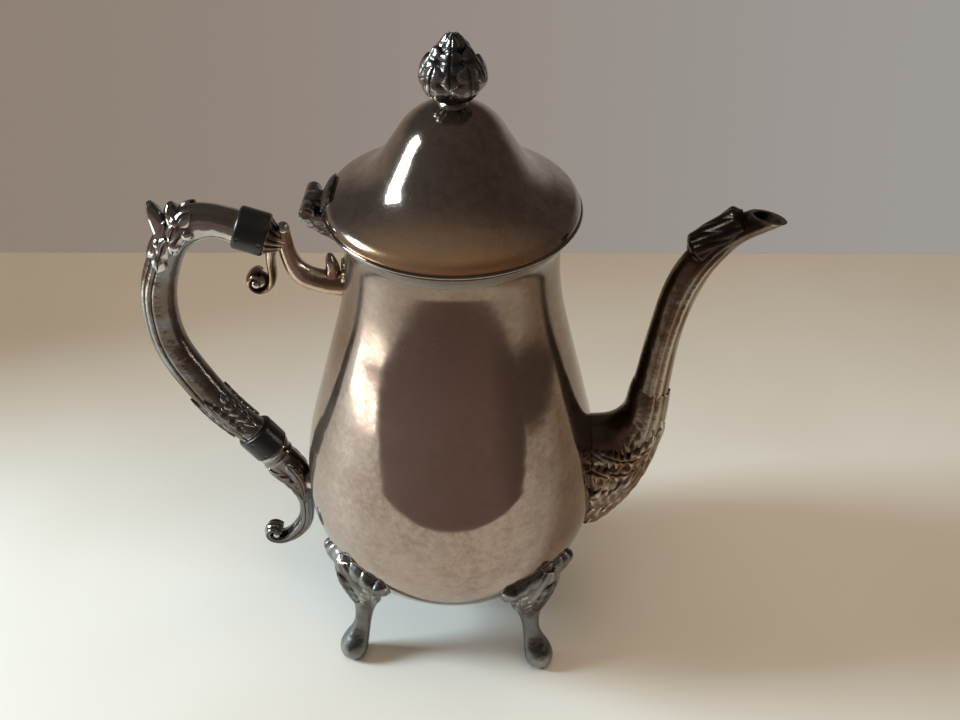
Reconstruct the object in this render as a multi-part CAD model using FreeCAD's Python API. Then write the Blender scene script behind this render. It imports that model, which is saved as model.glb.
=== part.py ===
import FreeCAD, Part
import math
import os

# Coffee pot of plated metal, in millimetres. The pot's axis is Z, the table is z = 0,
# the handle points to -X and the spout to +X.

# Body: a spun pear with a flared mouth
BASE_Z = 29.7
BASE_RADIUS = 28.0
BELLY_Z = 80.0
BELLY_RADIUS = 62.3
NECK_Z = 197.0
NECK_RADIUS = 40.9
MOUTH_Z = 210.0
MOUTH_FLARE = 5.3
SHOULDER_FULLNESS = 0.829
BELLY_SHARE = 0.4854
BODY_WALL = 1.0
BASE_DISC_THICKNESS = 1.4
POUR_HOLE_Z = 84.0
POUR_HOLE_RADIUS = 10.0

# Fits
SOLDER_FILM = 0.05
SEAT_GAP = 0.3
BEZEL_CLEARANCE = 0.6
RUNNING_CLEARANCE = 0.05
PRESS_CLEARANCE = 0.02

# Mouth ring and lid
RING_HEIGHT = 1.5
RING_OVERHANG = 0.8
RING_ROUND = 0.6
LID_OVERHANG = 1.4
LID_HEIGHT = 42.5
LID_WALL = 1.0
LID_DOME_SHARE = 0.269
LID_DOME_FULLNESS = 0.998
LID_BELL_SHARE = 0.649
LID_BELL_HEIGHT = 13.4
LID_BELL_ARC = 30.0
LID_EDGE_HEIGHT = 4.6
LID_EDGE_ARC = 5.2
RIM_WIRE_RADIUS = 0.8
BEZEL_DEPTH = 4.5
BEZEL_WALL = 0.8

# Lid hinge
HINGE_STANDOFF = 4.6
HINGE_RISE = 0.3
KNUCKLE_RADIUS = 2.9
HINGE_WIDTH = 19.0
MIDDLE_KNUCKLE = 7.0
KNUCKLE_GAP = 0.2
HINGE_PIN_RADIUS = 1.2
PIN_HEAD_RADIUS = 1.9
PIN_HEAD_LENGTH = 0.6
BRACKET_FOOT_Z = 199.0
BRACKET_BELOW_LID = 0.6
SADDLE_THICKNESS = 1.2
SADDLE_REACH = 3.4

# Finial
STUD_RADIUS = 2.0
STUD_LENGTH = 8.0
FINIAL_FOOT_RADIUS = 5.4
FINIAL_STEM_RADIUS = 3.6
FINIAL_STEM_HEIGHT = 4.0
BUD_HEIGHT = 21.2
BUD_RADIUS = 11.2
PETALS = 7
PETAL_DEPTH = 0.09
WASHER_RADIUS = 6.0
WASHER_THICKNESS = 1.0
NUT_ACROSS_FLATS = 7.0
NUT_HEIGHT = 3.2

# Handle: grip between two pinned insulators
UPPER_STANDOFF = 35.6
UPPER_DROP = 12.0
UPPER_SLOPE = -17.0
LOWER_STANDOFF = 20.5
LOWER_RISE = 11.5
LOWER_SLOPE = -53.0
INSULATOR_RADIUS = 8.5
INSULATOR_LENGTH = 12.5
INSULATOR_ROUND = 1.4
SPIGOT_RADIUS = 4.0
SPIGOT_LENGTH = 4.2
SPIGOT_END_GAP = 0.3
CROSS_PIN_RADIUS = 0.8
CROSS_PIN_SINK = 0.3
GRIP_END_RADIUS = 6.6
SOCKET_END_RADIUS = 7.2
REED_COUNT = 9
REED_DEPTH = 0.05
CREST_THICKNESS = 7.2

# Handle sockets, where they are soldered to the body
ROOT_SINK = 4.8
ARM_ROOT_DROP = 22.6
ARM_ROOT_HALF_HEIGHT = 4.7
ARM_ROOT_HALF_WIDTH = 5.3
ARM_ROOT_STEP = 3.5
CURL_RADIUS = 4.3
CURL_DROP = 14.0
PAD_RADIUS = 5.0
PAD_DROP = 22.5
PAD_STANDOFF = 8.3

# Spout
SPOUT_WALL = 1.2
SPOUT_MOUTH_ANGLE = 12.5
FLUTE_COUNT = 10
FLUTE_DEPTH = 0.035

# Feet
FOOT_SPREAD = 45.0
TOE_RADIUS = 59.0
KNEE_RISE = 37.0
SHIELD_THICKNESS = 2.8
SHIELD_HALF_WIDTH = 20.0

# One step of the tables that give the castings' stations
STATION = 1.0

SECTION_POLES = 12

X = FreeCAD.Vector(1, 0, 0)
Y = FreeCAD.Vector(0, 1, 0)
Z = FreeCAD.Vector(0, 0, 1)
ORIGIN = FreeCAD.Vector(0, 0, 0)

# Heights and radii that follow from the sizes above
MOUTH_RADIUS = NECK_RADIUS + MOUTH_FLARE
LID_RADIUS = MOUTH_RADIUS + LID_OVERHANG
RING_TOP = MOUTH_Z + RING_HEIGHT
RIM_Z = RING_TOP + SEAT_GAP
LID_TOP = RIM_Z + LID_HEIGHT
BEZEL_BOTTOM = RIM_Z - BEZEL_DEPTH
HINGE_X = -(LID_RADIUS + RIM_WIRE_RADIUS + HINGE_STANDOFF)
HINGE_Z = RIM_Z + HINGE_RISE
FAR = 4 * BELLY_RADIUS

# Shoulder: the belly arc and the neck arc share the largest pair of arcs that would meet without a cone
SHOULDER_RISE = NECK_Z - BELLY_Z
SHOULDER_STEP = BELLY_RADIUS - NECK_RADIUS
SHOULDER_ARCS = SHOULDER_FULLNESS * (SHOULDER_RISE ** 2 + SHOULDER_STEP ** 2) / (2 * SHOULDER_STEP)
BELLY_ARC = BELLY_SHARE * SHOULDER_ARCS
NECK_ARC = SHOULDER_ARCS - BELLY_ARC


def at(x, z, y=0.0):
    """A point of the XZ plane, or beside it."""
    return FreeCAD.Vector(x, y, z)


def arc_about(centre, radius, start, end):
    """Arc in the XZ plane about a centre, between two angles in radians."""
    points = []
    for angle in (start, (start + end) / 2, end):
        points.append(at(centre[0] + radius * math.cos(angle), centre[1] + radius * math.sin(angle)))
    return Part.Arc(*points).toShape()


def line(start, end):
    return Part.LineSegment(start, end).toShape()


def polygon(corners):
    """Flat face in the XZ plane with straight sides."""
    points = [at(x, z) for x, z in corners]
    return Part.Face(Part.makePolygon(points + points[:1]))


def turned(edges):
    """Solid of revolution about Z of an open chain of edges, closed along the axis."""
    first = edges[0].Vertexes[0].Point
    last = edges[-1].Vertexes[-1].Point
    closing = []
    if last.x > 0:
        closing.append(line(last, at(0, last.z)))
    closing.append(line(at(0, last.z), at(0, first.z)))
    if first.x > 0:
        closing.append(line(at(0, first.z), first))
    wire = Part.Wire(edges + closing)
    return Part.Face(wire).revolve(ORIGIN, Z, 360)


def ring(inner, outer, bottom, top):
    """Plain ring round the pot's axis."""
    tube = Part.makeCylinder(outer, top - bottom, at(0, bottom))
    return tube.cut(Part.makeCylinder(inner, top - bottom, at(0, bottom)))


def across(x, z, radius, width):
    """Cylinder along Y, centred on the XZ plane."""
    return Part.makeCylinder(radius, width, at(x, z, -width / 2), Y)


def plate(corners, width):
    """Plate along Y from an outline in the XZ plane, centred on that plane."""
    face = polygon(corners)
    face.translate(at(0, 0, -width / 2))
    return face.extrude(Y * width)


def slab(left, right, bottom, top, width):
    """Box centred on the XZ plane."""
    return Part.makeBox(right - left, width, top - bottom, at(left, bottom, -width / 2))


def section(one_edge, other_edge, half_width, count=0, depth=0.0, one_sided=False):
    """Poles of a closed section between two edge points of the XZ plane, with reeds if count is given."""
    centre = (one_edge + other_edge) / 2
    out = (one_edge - other_edge) / 2
    steps = 4 * count if count else SECTION_POLES
    pull = 3 / (2 + math.cos(2 * math.pi / steps))
    poles = []
    for step in range(steps):
        angle = 2 * math.pi * step / steps
        weight = max(0.0, math.cos(angle)) if one_sided else 1.0
        swell = pull * (1 + depth * weight * math.cos(count * angle))
        poles.append(centre + out * (swell * math.cos(angle)) + Y * (half_width * swell * math.sin(angle)))
    return poles


def horn(stations, **reeds):
    """Solid skinned over stations of the form (edge point, opposite edge point, half width)."""
    sections = []
    for one_edge, other_edge, half_width in stations:
        sections.append(section(at(*one_edge), at(*other_edge), half_width, **reeds))
    travel = [0.0]
    for before, after in zip(stations, stations[1:]):
        steps = [(at(*after[side]) - at(*before[side])).Length for side in (0, 1)]
        travel.append(travel[-1] + sum(steps) / 2)
    columns = []
    for poles in zip(*sections):
        curve = Part.BSplineCurve()
        curve.interpolate(list(poles), Parameters=travel)
        columns.append(curve.getPoles())
    around = len(columns)
    surface = Part.BSplineSurface()
    surface.buildFromPolesMultsKnots(
        [list(row) for row in zip(*columns)], curve.getMultiplicities(), [1] * (around + 1),
        curve.getKnots(), list(range(around + 1)), False, True, curve.Degree, 3)
    skin = surface.toShape()
    rims = [edge for edge in skin.Edges if edge.Closed]
    ends = [Part.Face(Part.Wire([rim])) for rim in rims]
    shell = Part.Shell([skin] + ends)
    shell.sewShape()
    solid = Part.Solid(shell)
    if solid.Volume < 0:
        solid.reverse()
    return solid


def inset(stations, wall):
    """The same stations, smaller by a wall all round."""
    smaller = []
    for one_edge, other_edge, half_width in stations:
        one = at(*one_edge)
        other = at(*other_edge)
        step = (other - one).normalize() * wall
        one = one + step
        other = other - step
        smaller.append(((one.x, one.z), (other.x, other.z), half_width - wall))
    return smaller


# Body of revolution

def lower_arc():
    """Centre and radius of the arc from the base up to the belly."""
    step = BELLY_RADIUS - BASE_RADIUS
    radius = (step ** 2 + (BELLY_Z - BASE_Z) ** 2) / (2 * step)
    return (BELLY_RADIUS - radius, BELLY_Z), radius


def flare_arc():
    """Centre and radius of the arc from the neck up to the mouth."""
    radius = (MOUTH_FLARE ** 2 + (MOUTH_Z - NECK_Z) ** 2) / (2 * MOUTH_FLARE)
    return (NECK_RADIUS + radius, NECK_Z), radius


def cone_angle():
    """Slope, from the vertical, of the line that is tangent to the belly arc and the neck arc."""
    run = SHOULDER_ARCS - SHOULDER_STEP
    span = math.hypot(run, SHOULDER_RISE)
    return math.atan2(SHOULDER_RISE, run) - math.acos(SHOULDER_ARCS / span)


def body_edges(offset=0.0):
    """Outline of the shell from base to mouth, moved outwards by an offset. Its lower arc ends at the base,
    or at the arc's own lowest point where that lies above the base."""
    lower_centre, lower_radius = lower_arc()
    flare_centre, flare_radius = flare_arc()
    slope = cone_angle()
    base_angle = -math.asin(min(1.0, (BELLY_Z - BASE_Z) / (lower_radius + offset)))
    mouth_angle = math.asin((MOUTH_Z - NECK_Z) / (flare_radius - offset))
    lower = arc_about(lower_centre, lower_radius + offset, base_angle, 0)
    belly = arc_about((BELLY_RADIUS - BELLY_ARC, BELLY_Z), BELLY_ARC + offset, 0, slope)
    neck_centre = (NECK_RADIUS + NECK_ARC, NECK_Z)
    neck = arc_about(neck_centre, NECK_ARC - offset, math.pi + slope, math.pi)
    flare = arc_about(flare_centre, flare_radius - offset, math.pi, math.pi - mouth_angle)
    cone = line(belly.Vertexes[-1].Point, neck.Vertexes[0].Point)
    return [lower, belly, cone, neck, flare]


def body_solid(offset=0.0):
    return turned(body_edges(offset))


def body_radius(z, offset=0.0):
    """Radius of the shell at a height, found on its outline."""
    level = line(at(0, z), at(FAR, z))
    outline = Part.Wire(body_edges(offset))
    return outline.distToShape(level)[1][0][0].x


SOLDER_FACE = body_solid(SOLDER_FILM)
MOUTH_OPENING = body_radius(BEZEL_BOTTOM, -BODY_WALL)


def body_shell():
    hole = Part.makeCylinder(POUR_HOLE_RADIUS, FAR, at(0, POUR_HOLE_Z), X)
    return body_solid().cut(body_solid(-BODY_WALL)).cut(hole)


def base_disc():
    disc = Part.makeCylinder(BASE_RADIUS, BASE_DISC_THICKNESS, at(0, BASE_Z - BASE_DISC_THICKNESS))
    lower_rim = [edge for edge in disc.Edges if edge.BoundBox.ZMax < BASE_Z - BASE_DISC_THICKNESS / 2]
    return disc.makeFillet(BASE_DISC_THICKNESS / 2, [e for e in lower_rim if e.Closed])


def mouth_ring():
    outer = MOUTH_RADIUS + RING_OVERHANG
    whole = Part.makeCylinder(outer, RING_HEIGHT, at(0, MOUTH_Z))
    rims = [edge for edge in whole.Edges if edge.Closed]
    rounded = whole.makeFillet(RING_ROUND, rims)
    return rounded.cut(Part.makeCylinder(MOUTH_OPENING, RING_HEIGHT, at(0, MOUTH_Z)))


# Lid

def shifted(corners, distance):
    """Open chain of (radius, height) corners moved to its right-hand side by a distance."""
    lines = []
    for (x0, z0), (x1, z1) in zip(corners, corners[1:]):
        length = math.hypot(x1 - x0, z1 - z0)
        normal = ((z1 - z0) / length * distance, -(x1 - x0) / length * distance)
        lines.append(((x0 + normal[0], z0 + normal[1]), (x1 - x0, z1 - z0)))
    moved = [lines[0][0]]
    for (p, d), (q, e) in zip(lines, lines[1:]):
        turn = d[0] * e[1] - d[1] * e[0]
        along = ((q[0] - p[0]) * e[1] - (q[1] - p[1]) * e[0]) / turn
        moved.append((p[0] + along * d[0], p[1] + along * d[1]))
    (last, step) = lines[-1]
    moved.append((last[0] + step[0], last[1] + step[1]))
    return moved


def rounded_chain(corners, radii):
    """Edges of an open chain of corners, each inner corner rounded by its radius."""
    edges = []
    start = at(*corners[0])
    for before, corner, after, radius in zip(corners, corners[1:], corners[2:], radii):
        here = at(*corner)
        back = (at(*before) - here).normalize()
        on = (at(*after) - here).normalize()
        half = back.getAngle(on) / 2
        leave = here + back * (radius / math.tan(half))
        join = here + on * (radius / math.tan(half))
        middle = here + (back + on).normalize() * (radius / math.sin(half) - radius)
        edges.append(line(start, leave))
        edges.append(Part.Arc(leave, middle, join).toShape())
        start = join
    edges.append(line(start, at(*corners[-1])))
    return edges


def lid_dome():
    """Corner of the lid's dome, and the arc that fills it from the axis to the bell."""
    corner = LID_DOME_SHARE * LID_RADIUS
    fall = math.atan2(LID_HEIGHT - LID_BELL_HEIGHT, LID_BELL_SHARE * LID_RADIUS - corner)
    return corner, LID_DOME_FULLNESS * corner / math.tan(fall / 2)


def lid_solid(offset=0.0):
    """The lid's full form: dome, bell and rolled edge, moved outwards by an offset."""
    dome_corner, dome_arc = lid_dome()
    corners = [(0, LID_TOP), (dome_corner, LID_TOP),
               (LID_BELL_SHARE * LID_RADIUS, RIM_Z + LID_BELL_HEIGHT),
               (LID_RADIUS, RIM_Z + LID_EDGE_HEIGHT), (LID_RADIUS, RIM_Z)]
    radii = [dome_arc + offset, LID_BELL_ARC - offset, LID_EDGE_ARC + offset]
    return turned(rounded_chain(shifted(corners, -offset), radii))


def lid_shell():
    stud_hole = Part.makeCylinder(STUD_RADIUS + RUNNING_CLEARANCE, 2 * LID_HEIGHT, at(0, RIM_Z))
    return lid_solid().cut(lid_solid(-LID_WALL)).cut(stud_hole)


def lid_rim_wire():
    """Half-round wire soldered round the edge of the lid."""
    middle = (LID_RADIUS + SOLDER_FILM, RIM_Z + RIM_WIRE_RADIUS + SOLDER_FILM)
    bow = arc_about(middle, RIM_WIRE_RADIUS, -math.pi / 2, math.pi / 2)
    flat = line(bow.Vertexes[-1].Point, bow.Vertexes[0].Point)
    return Part.Face(Part.Wire([bow, flat])).revolve(ORIGIN, Z, 360)


def lid_bezel():
    outer = MOUTH_OPENING - BEZEL_CLEARANCE
    flange = ring(outer - BEZEL_WALL, LID_RADIUS - LID_WALL - SOLDER_FILM, RIM_Z, RIM_Z + BEZEL_WALL)
    skirt = ring(outer - BEZEL_WALL, outer, BEZEL_BOTTOM, RIM_Z + BEZEL_WALL)
    return flange.fuse(skirt).removeSplitter()


# Finial and its fixing

def bud_tier(stations, turn):
    """One tier of bud leaves: lobed rings, given as shares of the bud's radius and height."""
    rings = []
    for swell, rise in stations:
        radius = swell * BUD_RADIUS
        z = LID_TOP + FINIAL_STEM_HEIGHT + rise * BUD_HEIGHT
        rings.append(((radius, z), (-radius, z), radius))
    tier = horn(rings, count=PETALS, depth=PETAL_DEPTH)
    tier.rotate(ORIGIN, Z, turn)
    return tier


def finial():
    foot = Part.makeCone(FINIAL_FOOT_RADIUS, FINIAL_STEM_RADIUS, FINIAL_STEM_HEIGHT + LID_WALL,
                         at(0, LID_TOP - LID_WALL))
    stud_length = STUD_LENGTH + FINIAL_STEM_HEIGHT + BUD_HEIGHT / 2
    stud = Part.makeCylinder(STUD_RADIUS, stud_length, at(0, LID_TOP - STUD_LENGTH))
    low = [(0.32, -0.05), (0.78, 0.08), (0.99, 0.27), (0.93, 0.46), (0.76, 0.6)]
    high = [(0.6, 0.3), (0.76, 0.52), (0.58, 0.76), (0.34, 0.92), (0.1, 1.0)]
    tiers = [bud_tier(low, 0), bud_tier(high, 180.0 / PETALS)]
    return foot.cut(lid_solid(SOLDER_FILM)).fuse(tiers + [stud])


def washer_bottom():
    dome_arc = lid_dome()[1]
    return LID_TOP - LID_WALL - SOLDER_FILM - WASHER_THICKNESS - WASHER_RADIUS ** 2 / (2 * dome_arc)


def finial_washer():
    """Washer with a domed top that fits the inside of the lid."""
    blank = Part.makeCylinder(WASHER_RADIUS, FAR, at(0, washer_bottom()))
    bore = Part.makeCylinder(STUD_RADIUS + RUNNING_CLEARANCE, FAR, at(0, washer_bottom()))
    return blank.common(lid_solid(-LID_WALL - SOLDER_FILM)).cut(bore)


def finial_nut():
    corner = NUT_ACROSS_FLATS / 2 / math.cos(math.pi / 6)
    bottom = washer_bottom() - NUT_HEIGHT
    points = []
    for step in range(7):
        angle = math.pi / 3 * step
        points.append(FreeCAD.Vector(corner * math.cos(angle), corner * math.sin(angle), bottom))
    block = Part.Face(Part.makePolygon(points)).extrude(Z * NUT_HEIGHT)
    return block.cut(Part.makeCylinder(STUD_RADIUS + RUNNING_CLEARANCE, NUT_HEIGHT, at(0, bottom)))


# Lid hinge: two outer knuckles on the body, the middle one on the lid

def hinge_body_leaf():
    knuckles = across(HINGE_X, HINGE_Z, KNUCKLE_RADIUS, HINGE_WIDTH)
    back = HINGE_X - KNUCKLE_RADIUS
    top = RIM_Z - BRACKET_BELOW_LID
    root = -body_radius(BRACKET_FOOT_Z, -BODY_WALL)
    bracket = plate([(back, HINGE_Z), (back, top - KNUCKLE_RADIUS), (root, BRACKET_FOOT_Z),
                     (root, top), (HINGE_X + KNUCKLE_RADIUS, top), (HINGE_X + KNUCKLE_RADIUS, HINGE_Z)],
                    HINGE_WIDTH)
    leaf = knuckles.fuse(bracket)
    slot_width = MIDDLE_KNUCKLE + 2 * KNUCKLE_GAP
    leaf = leaf.cut(across(HINGE_X, HINGE_Z, KNUCKLE_RADIUS + SEAT_GAP, slot_width))
    leaf = leaf.cut(slab(back - KNUCKLE_RADIUS, 0, top, HINGE_Z + KNUCKLE_RADIUS, slot_width))
    leaf = leaf.cut(across(HINGE_X, HINGE_Z, HINGE_PIN_RADIUS + PRESS_CLEARANCE, HINGE_WIDTH))
    ring_face = MOUTH_RADIUS + RING_OVERHANG + SOLDER_FILM
    leaf = leaf.cut(Part.makeCylinder(ring_face, FAR, at(0, MOUTH_Z - SOLDER_FILM)))
    return leaf.cut(SOLDER_FACE).removeSplitter()


def hinge_pin():
    shank = across(HINGE_X, HINGE_Z, HINGE_PIN_RADIUS, HINGE_WIDTH + 2 * PRESS_CLEARANCE)
    end = HINGE_WIDTH / 2 + PRESS_CLEARANCE
    head = Part.makeCylinder(PIN_HEAD_RADIUS, PIN_HEAD_LENGTH, at(HINGE_X, HINGE_Z, end), Y)
    other = Part.makeCylinder(PIN_HEAD_RADIUS, PIN_HEAD_LENGTH, at(HINGE_X, HINGE_Z, -end), Y * -1)
    return shank.fuse([head, other])


def hinge_lid_leaf():
    skin = lid_solid(SADDLE_THICKNESS)
    wire_top = RIM_Z + 2 * (RIM_WIRE_RADIUS + SOLDER_FILM)
    patch = slab(HINGE_X, -LID_RADIUS + SADDLE_REACH, wire_top, LID_TOP, HINGE_WIDTH)
    saddle = skin.common(patch)
    knuckle = across(HINGE_X, HINGE_Z, KNUCKLE_RADIUS, MIDDLE_KNUCKLE)
    arm_bottom = RIM_Z - BRACKET_BELOW_LID + SEAT_GAP
    arm = slab(HINGE_X, -LID_RADIUS + LID_EDGE_ARC, arm_bottom, HINGE_Z + KNUCKLE_RADIUS, MIDDLE_KNUCKLE)
    leaf = saddle.fuse([knuckle, arm])
    leaf = leaf.cut(across(HINGE_X, HINGE_Z, HINGE_PIN_RADIUS + RUNNING_CLEARANCE, HINGE_WIDTH))
    wire = Part.makeTorus(LID_RADIUS, RIM_WIRE_RADIUS + SOLDER_FILM,
                          at(0, RIM_Z + RIM_WIRE_RADIUS + SOLDER_FILM))
    lid_block = lid_solid(SOLDER_FILM).fuse(Part.makeCylinder(LID_RADIUS + SOLDER_FILM, RIM_Z, ORIGIN))
    return leaf.cut(wire).cut(lid_block).removeSplitter()


# Handle

class Insulator:
    """A black barrel: its centre in the XZ plane and the slope of its axis, pointing to the body."""

    def __init__(self, x, z, slope):
        self.centre = at(x, z)
        angle = math.radians(slope)
        self.axis = at(math.cos(angle), math.sin(angle))
        self.side = at(-math.sin(angle), math.cos(angle))
        self.grip_face = self.centre - self.axis * (INSULATOR_LENGTH / 2)
        self.socket_face = self.centre + self.axis * (INSULATOR_LENGTH / 2)

    def beside(self, stations):
        """Stations given in steps from the centre of the barrel, moved into the pot's frame."""
        moved = []
        for one, other, half_width in stations:
            ends = [(self.centre.x + STATION * x, self.centre.z + STATION * z) for x, z in (one, other)]
            moved.append((ends[0], ends[1], STATION * half_width))
        return moved

    def end_station(self, face, radius):
        """Station of a piece that ends flat on one face."""
        one = face + self.side * radius
        other = face - self.side * radius
        return (one.x, one.z), (other.x, other.z), radius

    def inward(self, face):
        return (self.centre - face).normalize()

    def spigot(self, face, clearance=0.0):
        length = SPIGOT_LENGTH + (SPIGOT_END_GAP if clearance else 0.0)
        return Part.makeCylinder(SPIGOT_RADIUS + clearance, length, face, self.inward(face))

    def pins(self, clearance=0.0):
        half = INSULATOR_RADIUS - CROSS_PIN_SINK
        solids = []
        for face in (self.grip_face, self.socket_face):
            middle = face + self.inward(face) * (SPIGOT_LENGTH / 2)
            length = FAR if clearance else 2 * half
            solids.append(across(middle.x, middle.z, CROSS_PIN_RADIUS + clearance, length))
        return solids

    def barrel(self):
        body = Part.makeCylinder(INSULATOR_RADIUS, INSULATOR_LENGTH, self.grip_face, self.axis)
        rims = [edge for edge in body.Edges if edge.Closed]
        body = body.makeFillet(INSULATOR_ROUND, rims)
        for face in (self.grip_face, self.socket_face):
            body = body.cut(self.spigot(face, PRESS_CLEARANCE))
        return body.cut(self.pins(PRESS_CLEARANCE))

    def with_spigot(self, solid, face):
        """A casting with the spigot that enters this insulator, drilled for its pin."""
        return solid.fuse(self.spigot(face)).cut(self.pins(PRESS_CLEARANCE))


UPPER = Insulator(-NECK_RADIUS - UPPER_STANDOFF, MOUTH_Z - UPPER_DROP, UPPER_SLOPE)
LOWER = Insulator(-BELLY_RADIUS - LOWER_STANDOFF, BELLY_Z + LOWER_RISE, LOWER_SLOPE)


def on_grip(share, bow):
    """Point of the grip: share of the chord from the upper to the lower barrel, and steps out from it."""
    chord = LOWER.centre - UPPER.centre
    point = UPPER.centre + chord * share + Y.cross(chord).normalize() * (STATION * bow)
    return point.x, point.z


def handle_grip():
    bends = [
        ((-0.091, 14.6), (0.036, 14.1), 6.2),
        ((-0.080, 25.0), (0.068, 21.7), 6.3),
        ((-0.005, 34.1), (0.118, 26.0), 6.4),
        ((0.124, 40.2), (0.194, 28.9), 6.4),
        ((0.255, 44.4), (0.284, 31.0), 6.4),
        ((0.397, 45.1), (0.385, 31.3), 6.4),
        ((0.562, 42.0), (0.517, 28.7), 6.4),
        ((0.737, 32.7), (0.663, 20.6), 6.4),
        ((0.887, 21.1), (0.806, 10.0), 6.4),
    ]
    stations = [UPPER.end_station(UPPER.grip_face, GRIP_END_RADIUS)]
    for outer, inner, half_width in bends:
        stations.append((on_grip(*outer), on_grip(*inner), STATION * half_width))
    inner, outer, half_width = LOWER.end_station(LOWER.grip_face, GRIP_END_RADIUS)
    stations.append((outer, inner, half_width))
    grip = horn(stations, count=REED_COUNT, depth=REED_DEPTH, one_sided=True)
    leaf_tips = [(-0.061, 24.9), (-0.081, 30.7), (-0.053, 33.1), (-0.075, 38.2),
                 (-0.011, 37.0), (0.058, 36.8), (0.016, 29.4)]
    crest = plate([on_grip(*tip) for tip in leaf_tips], CREST_THICKNESS)
    grip = grip.fuse(crest)
    grip = UPPER.with_spigot(grip, UPPER.grip_face)
    return LOWER.with_spigot(grip, LOWER.grip_face)


def upper_handle_socket():
    root_z = UPPER.centre.z - ARM_ROOT_DROP
    root = -body_radius(root_z)
    high = root_z + ARM_ROOT_HALF_HEIGHT
    low = root_z - ARM_ROOT_HALF_HEIGHT
    arm = horn(UPPER.beside([
        ((14.1, 1.6), (10.3, 1.2), 2.4),
        ((15.2, -5.0), (9.9, -6.4), 3.6),
        ((16.7, -10.6), (11.3, -14.2), 4.2),
        ((19.7, -14.8), (14.3, -21.2), 4.6),
        ((24.5, -17.2), (21.1, -25.2), 5.0),
    ]) + [
        ((root - ARM_ROOT_STEP, high), (root - ARM_ROOT_STEP, low), ARM_ROOT_HALF_WIDTH),
        ((root + ROOT_SINK, high), (root + ROOT_SINK, low), ARM_ROOT_HALF_WIDTH),
    ])
    cup = horn([UPPER.end_station(UPPER.socket_face, SOCKET_END_RADIUS)] + UPPER.beside([
        ((10.1, 1.6), (6.9, -8.4), 5.4),
        ((13.7, -1.6), (10.3, -7.4), 3.6),
    ]))
    volute = horn(UPPER.beside([
        ((9.7, -5.0), (4.7, -6.6), 4.6),
        ((7.9, -12.4), (4.5, -12.8), 4.3),
        ((7.8, -19.6), (4.6, -19.8), 4.1),
        ((6.2, -25.0), (3.6, -23.2), 4.1),
        ((2.6, -27.6), (2.0, -24.8), 4.1),
        ((-1.7, -26.8), (-0.3, -24.6), 4.1),
        ((-4.1, -23.2), (-1.5, -22.8), 4.1),
        ((-3.3, -19.4), (-1.1, -21.0), 4.1),
        ((-0.1, -17.5), (0.3, -20.0), 4.1),
        ((2.3, -18.8), (1.5, -20.6), 3.9),
    ]))
    curl_z = UPPER.centre.z - CURL_DROP
    curl = Part.makeSphere(CURL_RADIUS, at(-body_radius(curl_z) - CURL_RADIUS / 4, curl_z))
    socket = arm.fuse([cup, volute, curl]).cut(SOLDER_FACE)
    return UPPER.with_spigot(socket, UPPER.socket_face)


def lower_handle_socket():
    inner, outer, half_width = LOWER.end_station(LOWER.socket_face, SOCKET_END_RADIUS)
    tail = horn([(outer, inner, half_width)] + LOWER.beside([
        ((1.4, -17.1), (13.5, -7.5), 6.6),
        ((6.6, -22.9), (18.2, -14.9), 6.0),
        ((10.8, -29.5), (20.4, -25.1), 5.4),
        ((13.0, -36.3), (20.0, -34.7), 4.9),
        ((13.2, -42.9), (19.2, -43.9), 4.6),
        ((11.4, -48.9), (17.4, -51.9), 4.4),
        ((8.2, -53.9), (12.9, -58.5), 4.2),
        ((5.6, -57.1), (7.2, -62.3), 4.1),
        ((2.2, -59.1), (1.6, -63.5), 4.0),
        ((-0.4, -58.5), (-3.8, -60.5), 4.0),
        ((-0.4, -56.7), (-3.6, -54.9), 4.0),
        ((1.2, -56.1), (0.6, -53.3), 4.0),
        ((2.9, -56.9), (4.2, -55.1), 3.8),
    ]))
    pad_z = LOWER.centre.z - PAD_DROP
    pad_start = at(-body_radius(pad_z) - PAD_STANDOFF, pad_z)
    pad = Part.makeCylinder(PAD_RADIUS, PAD_STANDOFF + ROOT_SINK, pad_start, X)
    socket = tail.fuse(pad).cut(SOLDER_FACE)
    return LOWER.with_spigot(socket, LOWER.socket_face)


# Spout: points are given as steps out from the belly and share of the rise from belly to mouth

SHEATH = [
    ((-12.3, 0.231), (-18.3, -0.231), 16.0),
    ((-2.3, 0.240), (-0.3, -0.204), 15.4),
    ((4.5, 0.254), (11.3, -0.114), 13.4),
    ((8.1, 0.282), (19.0, -0.011), 11.4),
    ((9.9, 0.320), (24.7, 0.138), 9.6),
    ((10.7, 0.369), (27.1, 0.254), 8.4),
    ((11.3, 0.409), (27.7, 0.372), 7.4),
]

TUBE = [
    ((10.5, 0.338), (25.3, 0.215), 7.8),
    ((12.5, 0.427), (26.7, 0.415), 6.6),
    ((14.3, 0.538), (27.5, 0.529), 6.2),
    ((16.3, 0.644), (29.2, 0.638), 5.9),
    ((18.7, 0.751), (31.9, 0.734), 5.7),
    ((22.9, 0.848), (35.1, 0.808), 5.6),
    ((31.4, 0.943), (40.7, 0.889), 5.4),
    ((37.5, 0.988), (45.0, 0.928), 5.2),
    ((44.1, 1.022), (49.7, 0.955), 5.0),
    ((51.3, 1.046), (55.7, 0.982), 4.8),
    ((58.1, 1.069), (61.7, 1.008), 4.4),
]

LEAF_COLLAR = [
    ((25.1, 0.912), (33.7, 0.862), 5.9),
    ((28.9, 0.958), (35.7, 0.904), 6.1),
    ((34.9, 0.997), (40.7, 0.935), 5.9),
    ((40.3, 1.032), (45.2, 0.969), 5.5),
    ((44.1, 1.042), (47.2, 0.988), 5.0),
]

SPOUT_MOUTH = (44.5, 1.035)


def on_spout(out, share):
    return BELLY_RADIUS + STATION * out, BELLY_Z + share * (MOUTH_Z - BELLY_Z)


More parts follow.
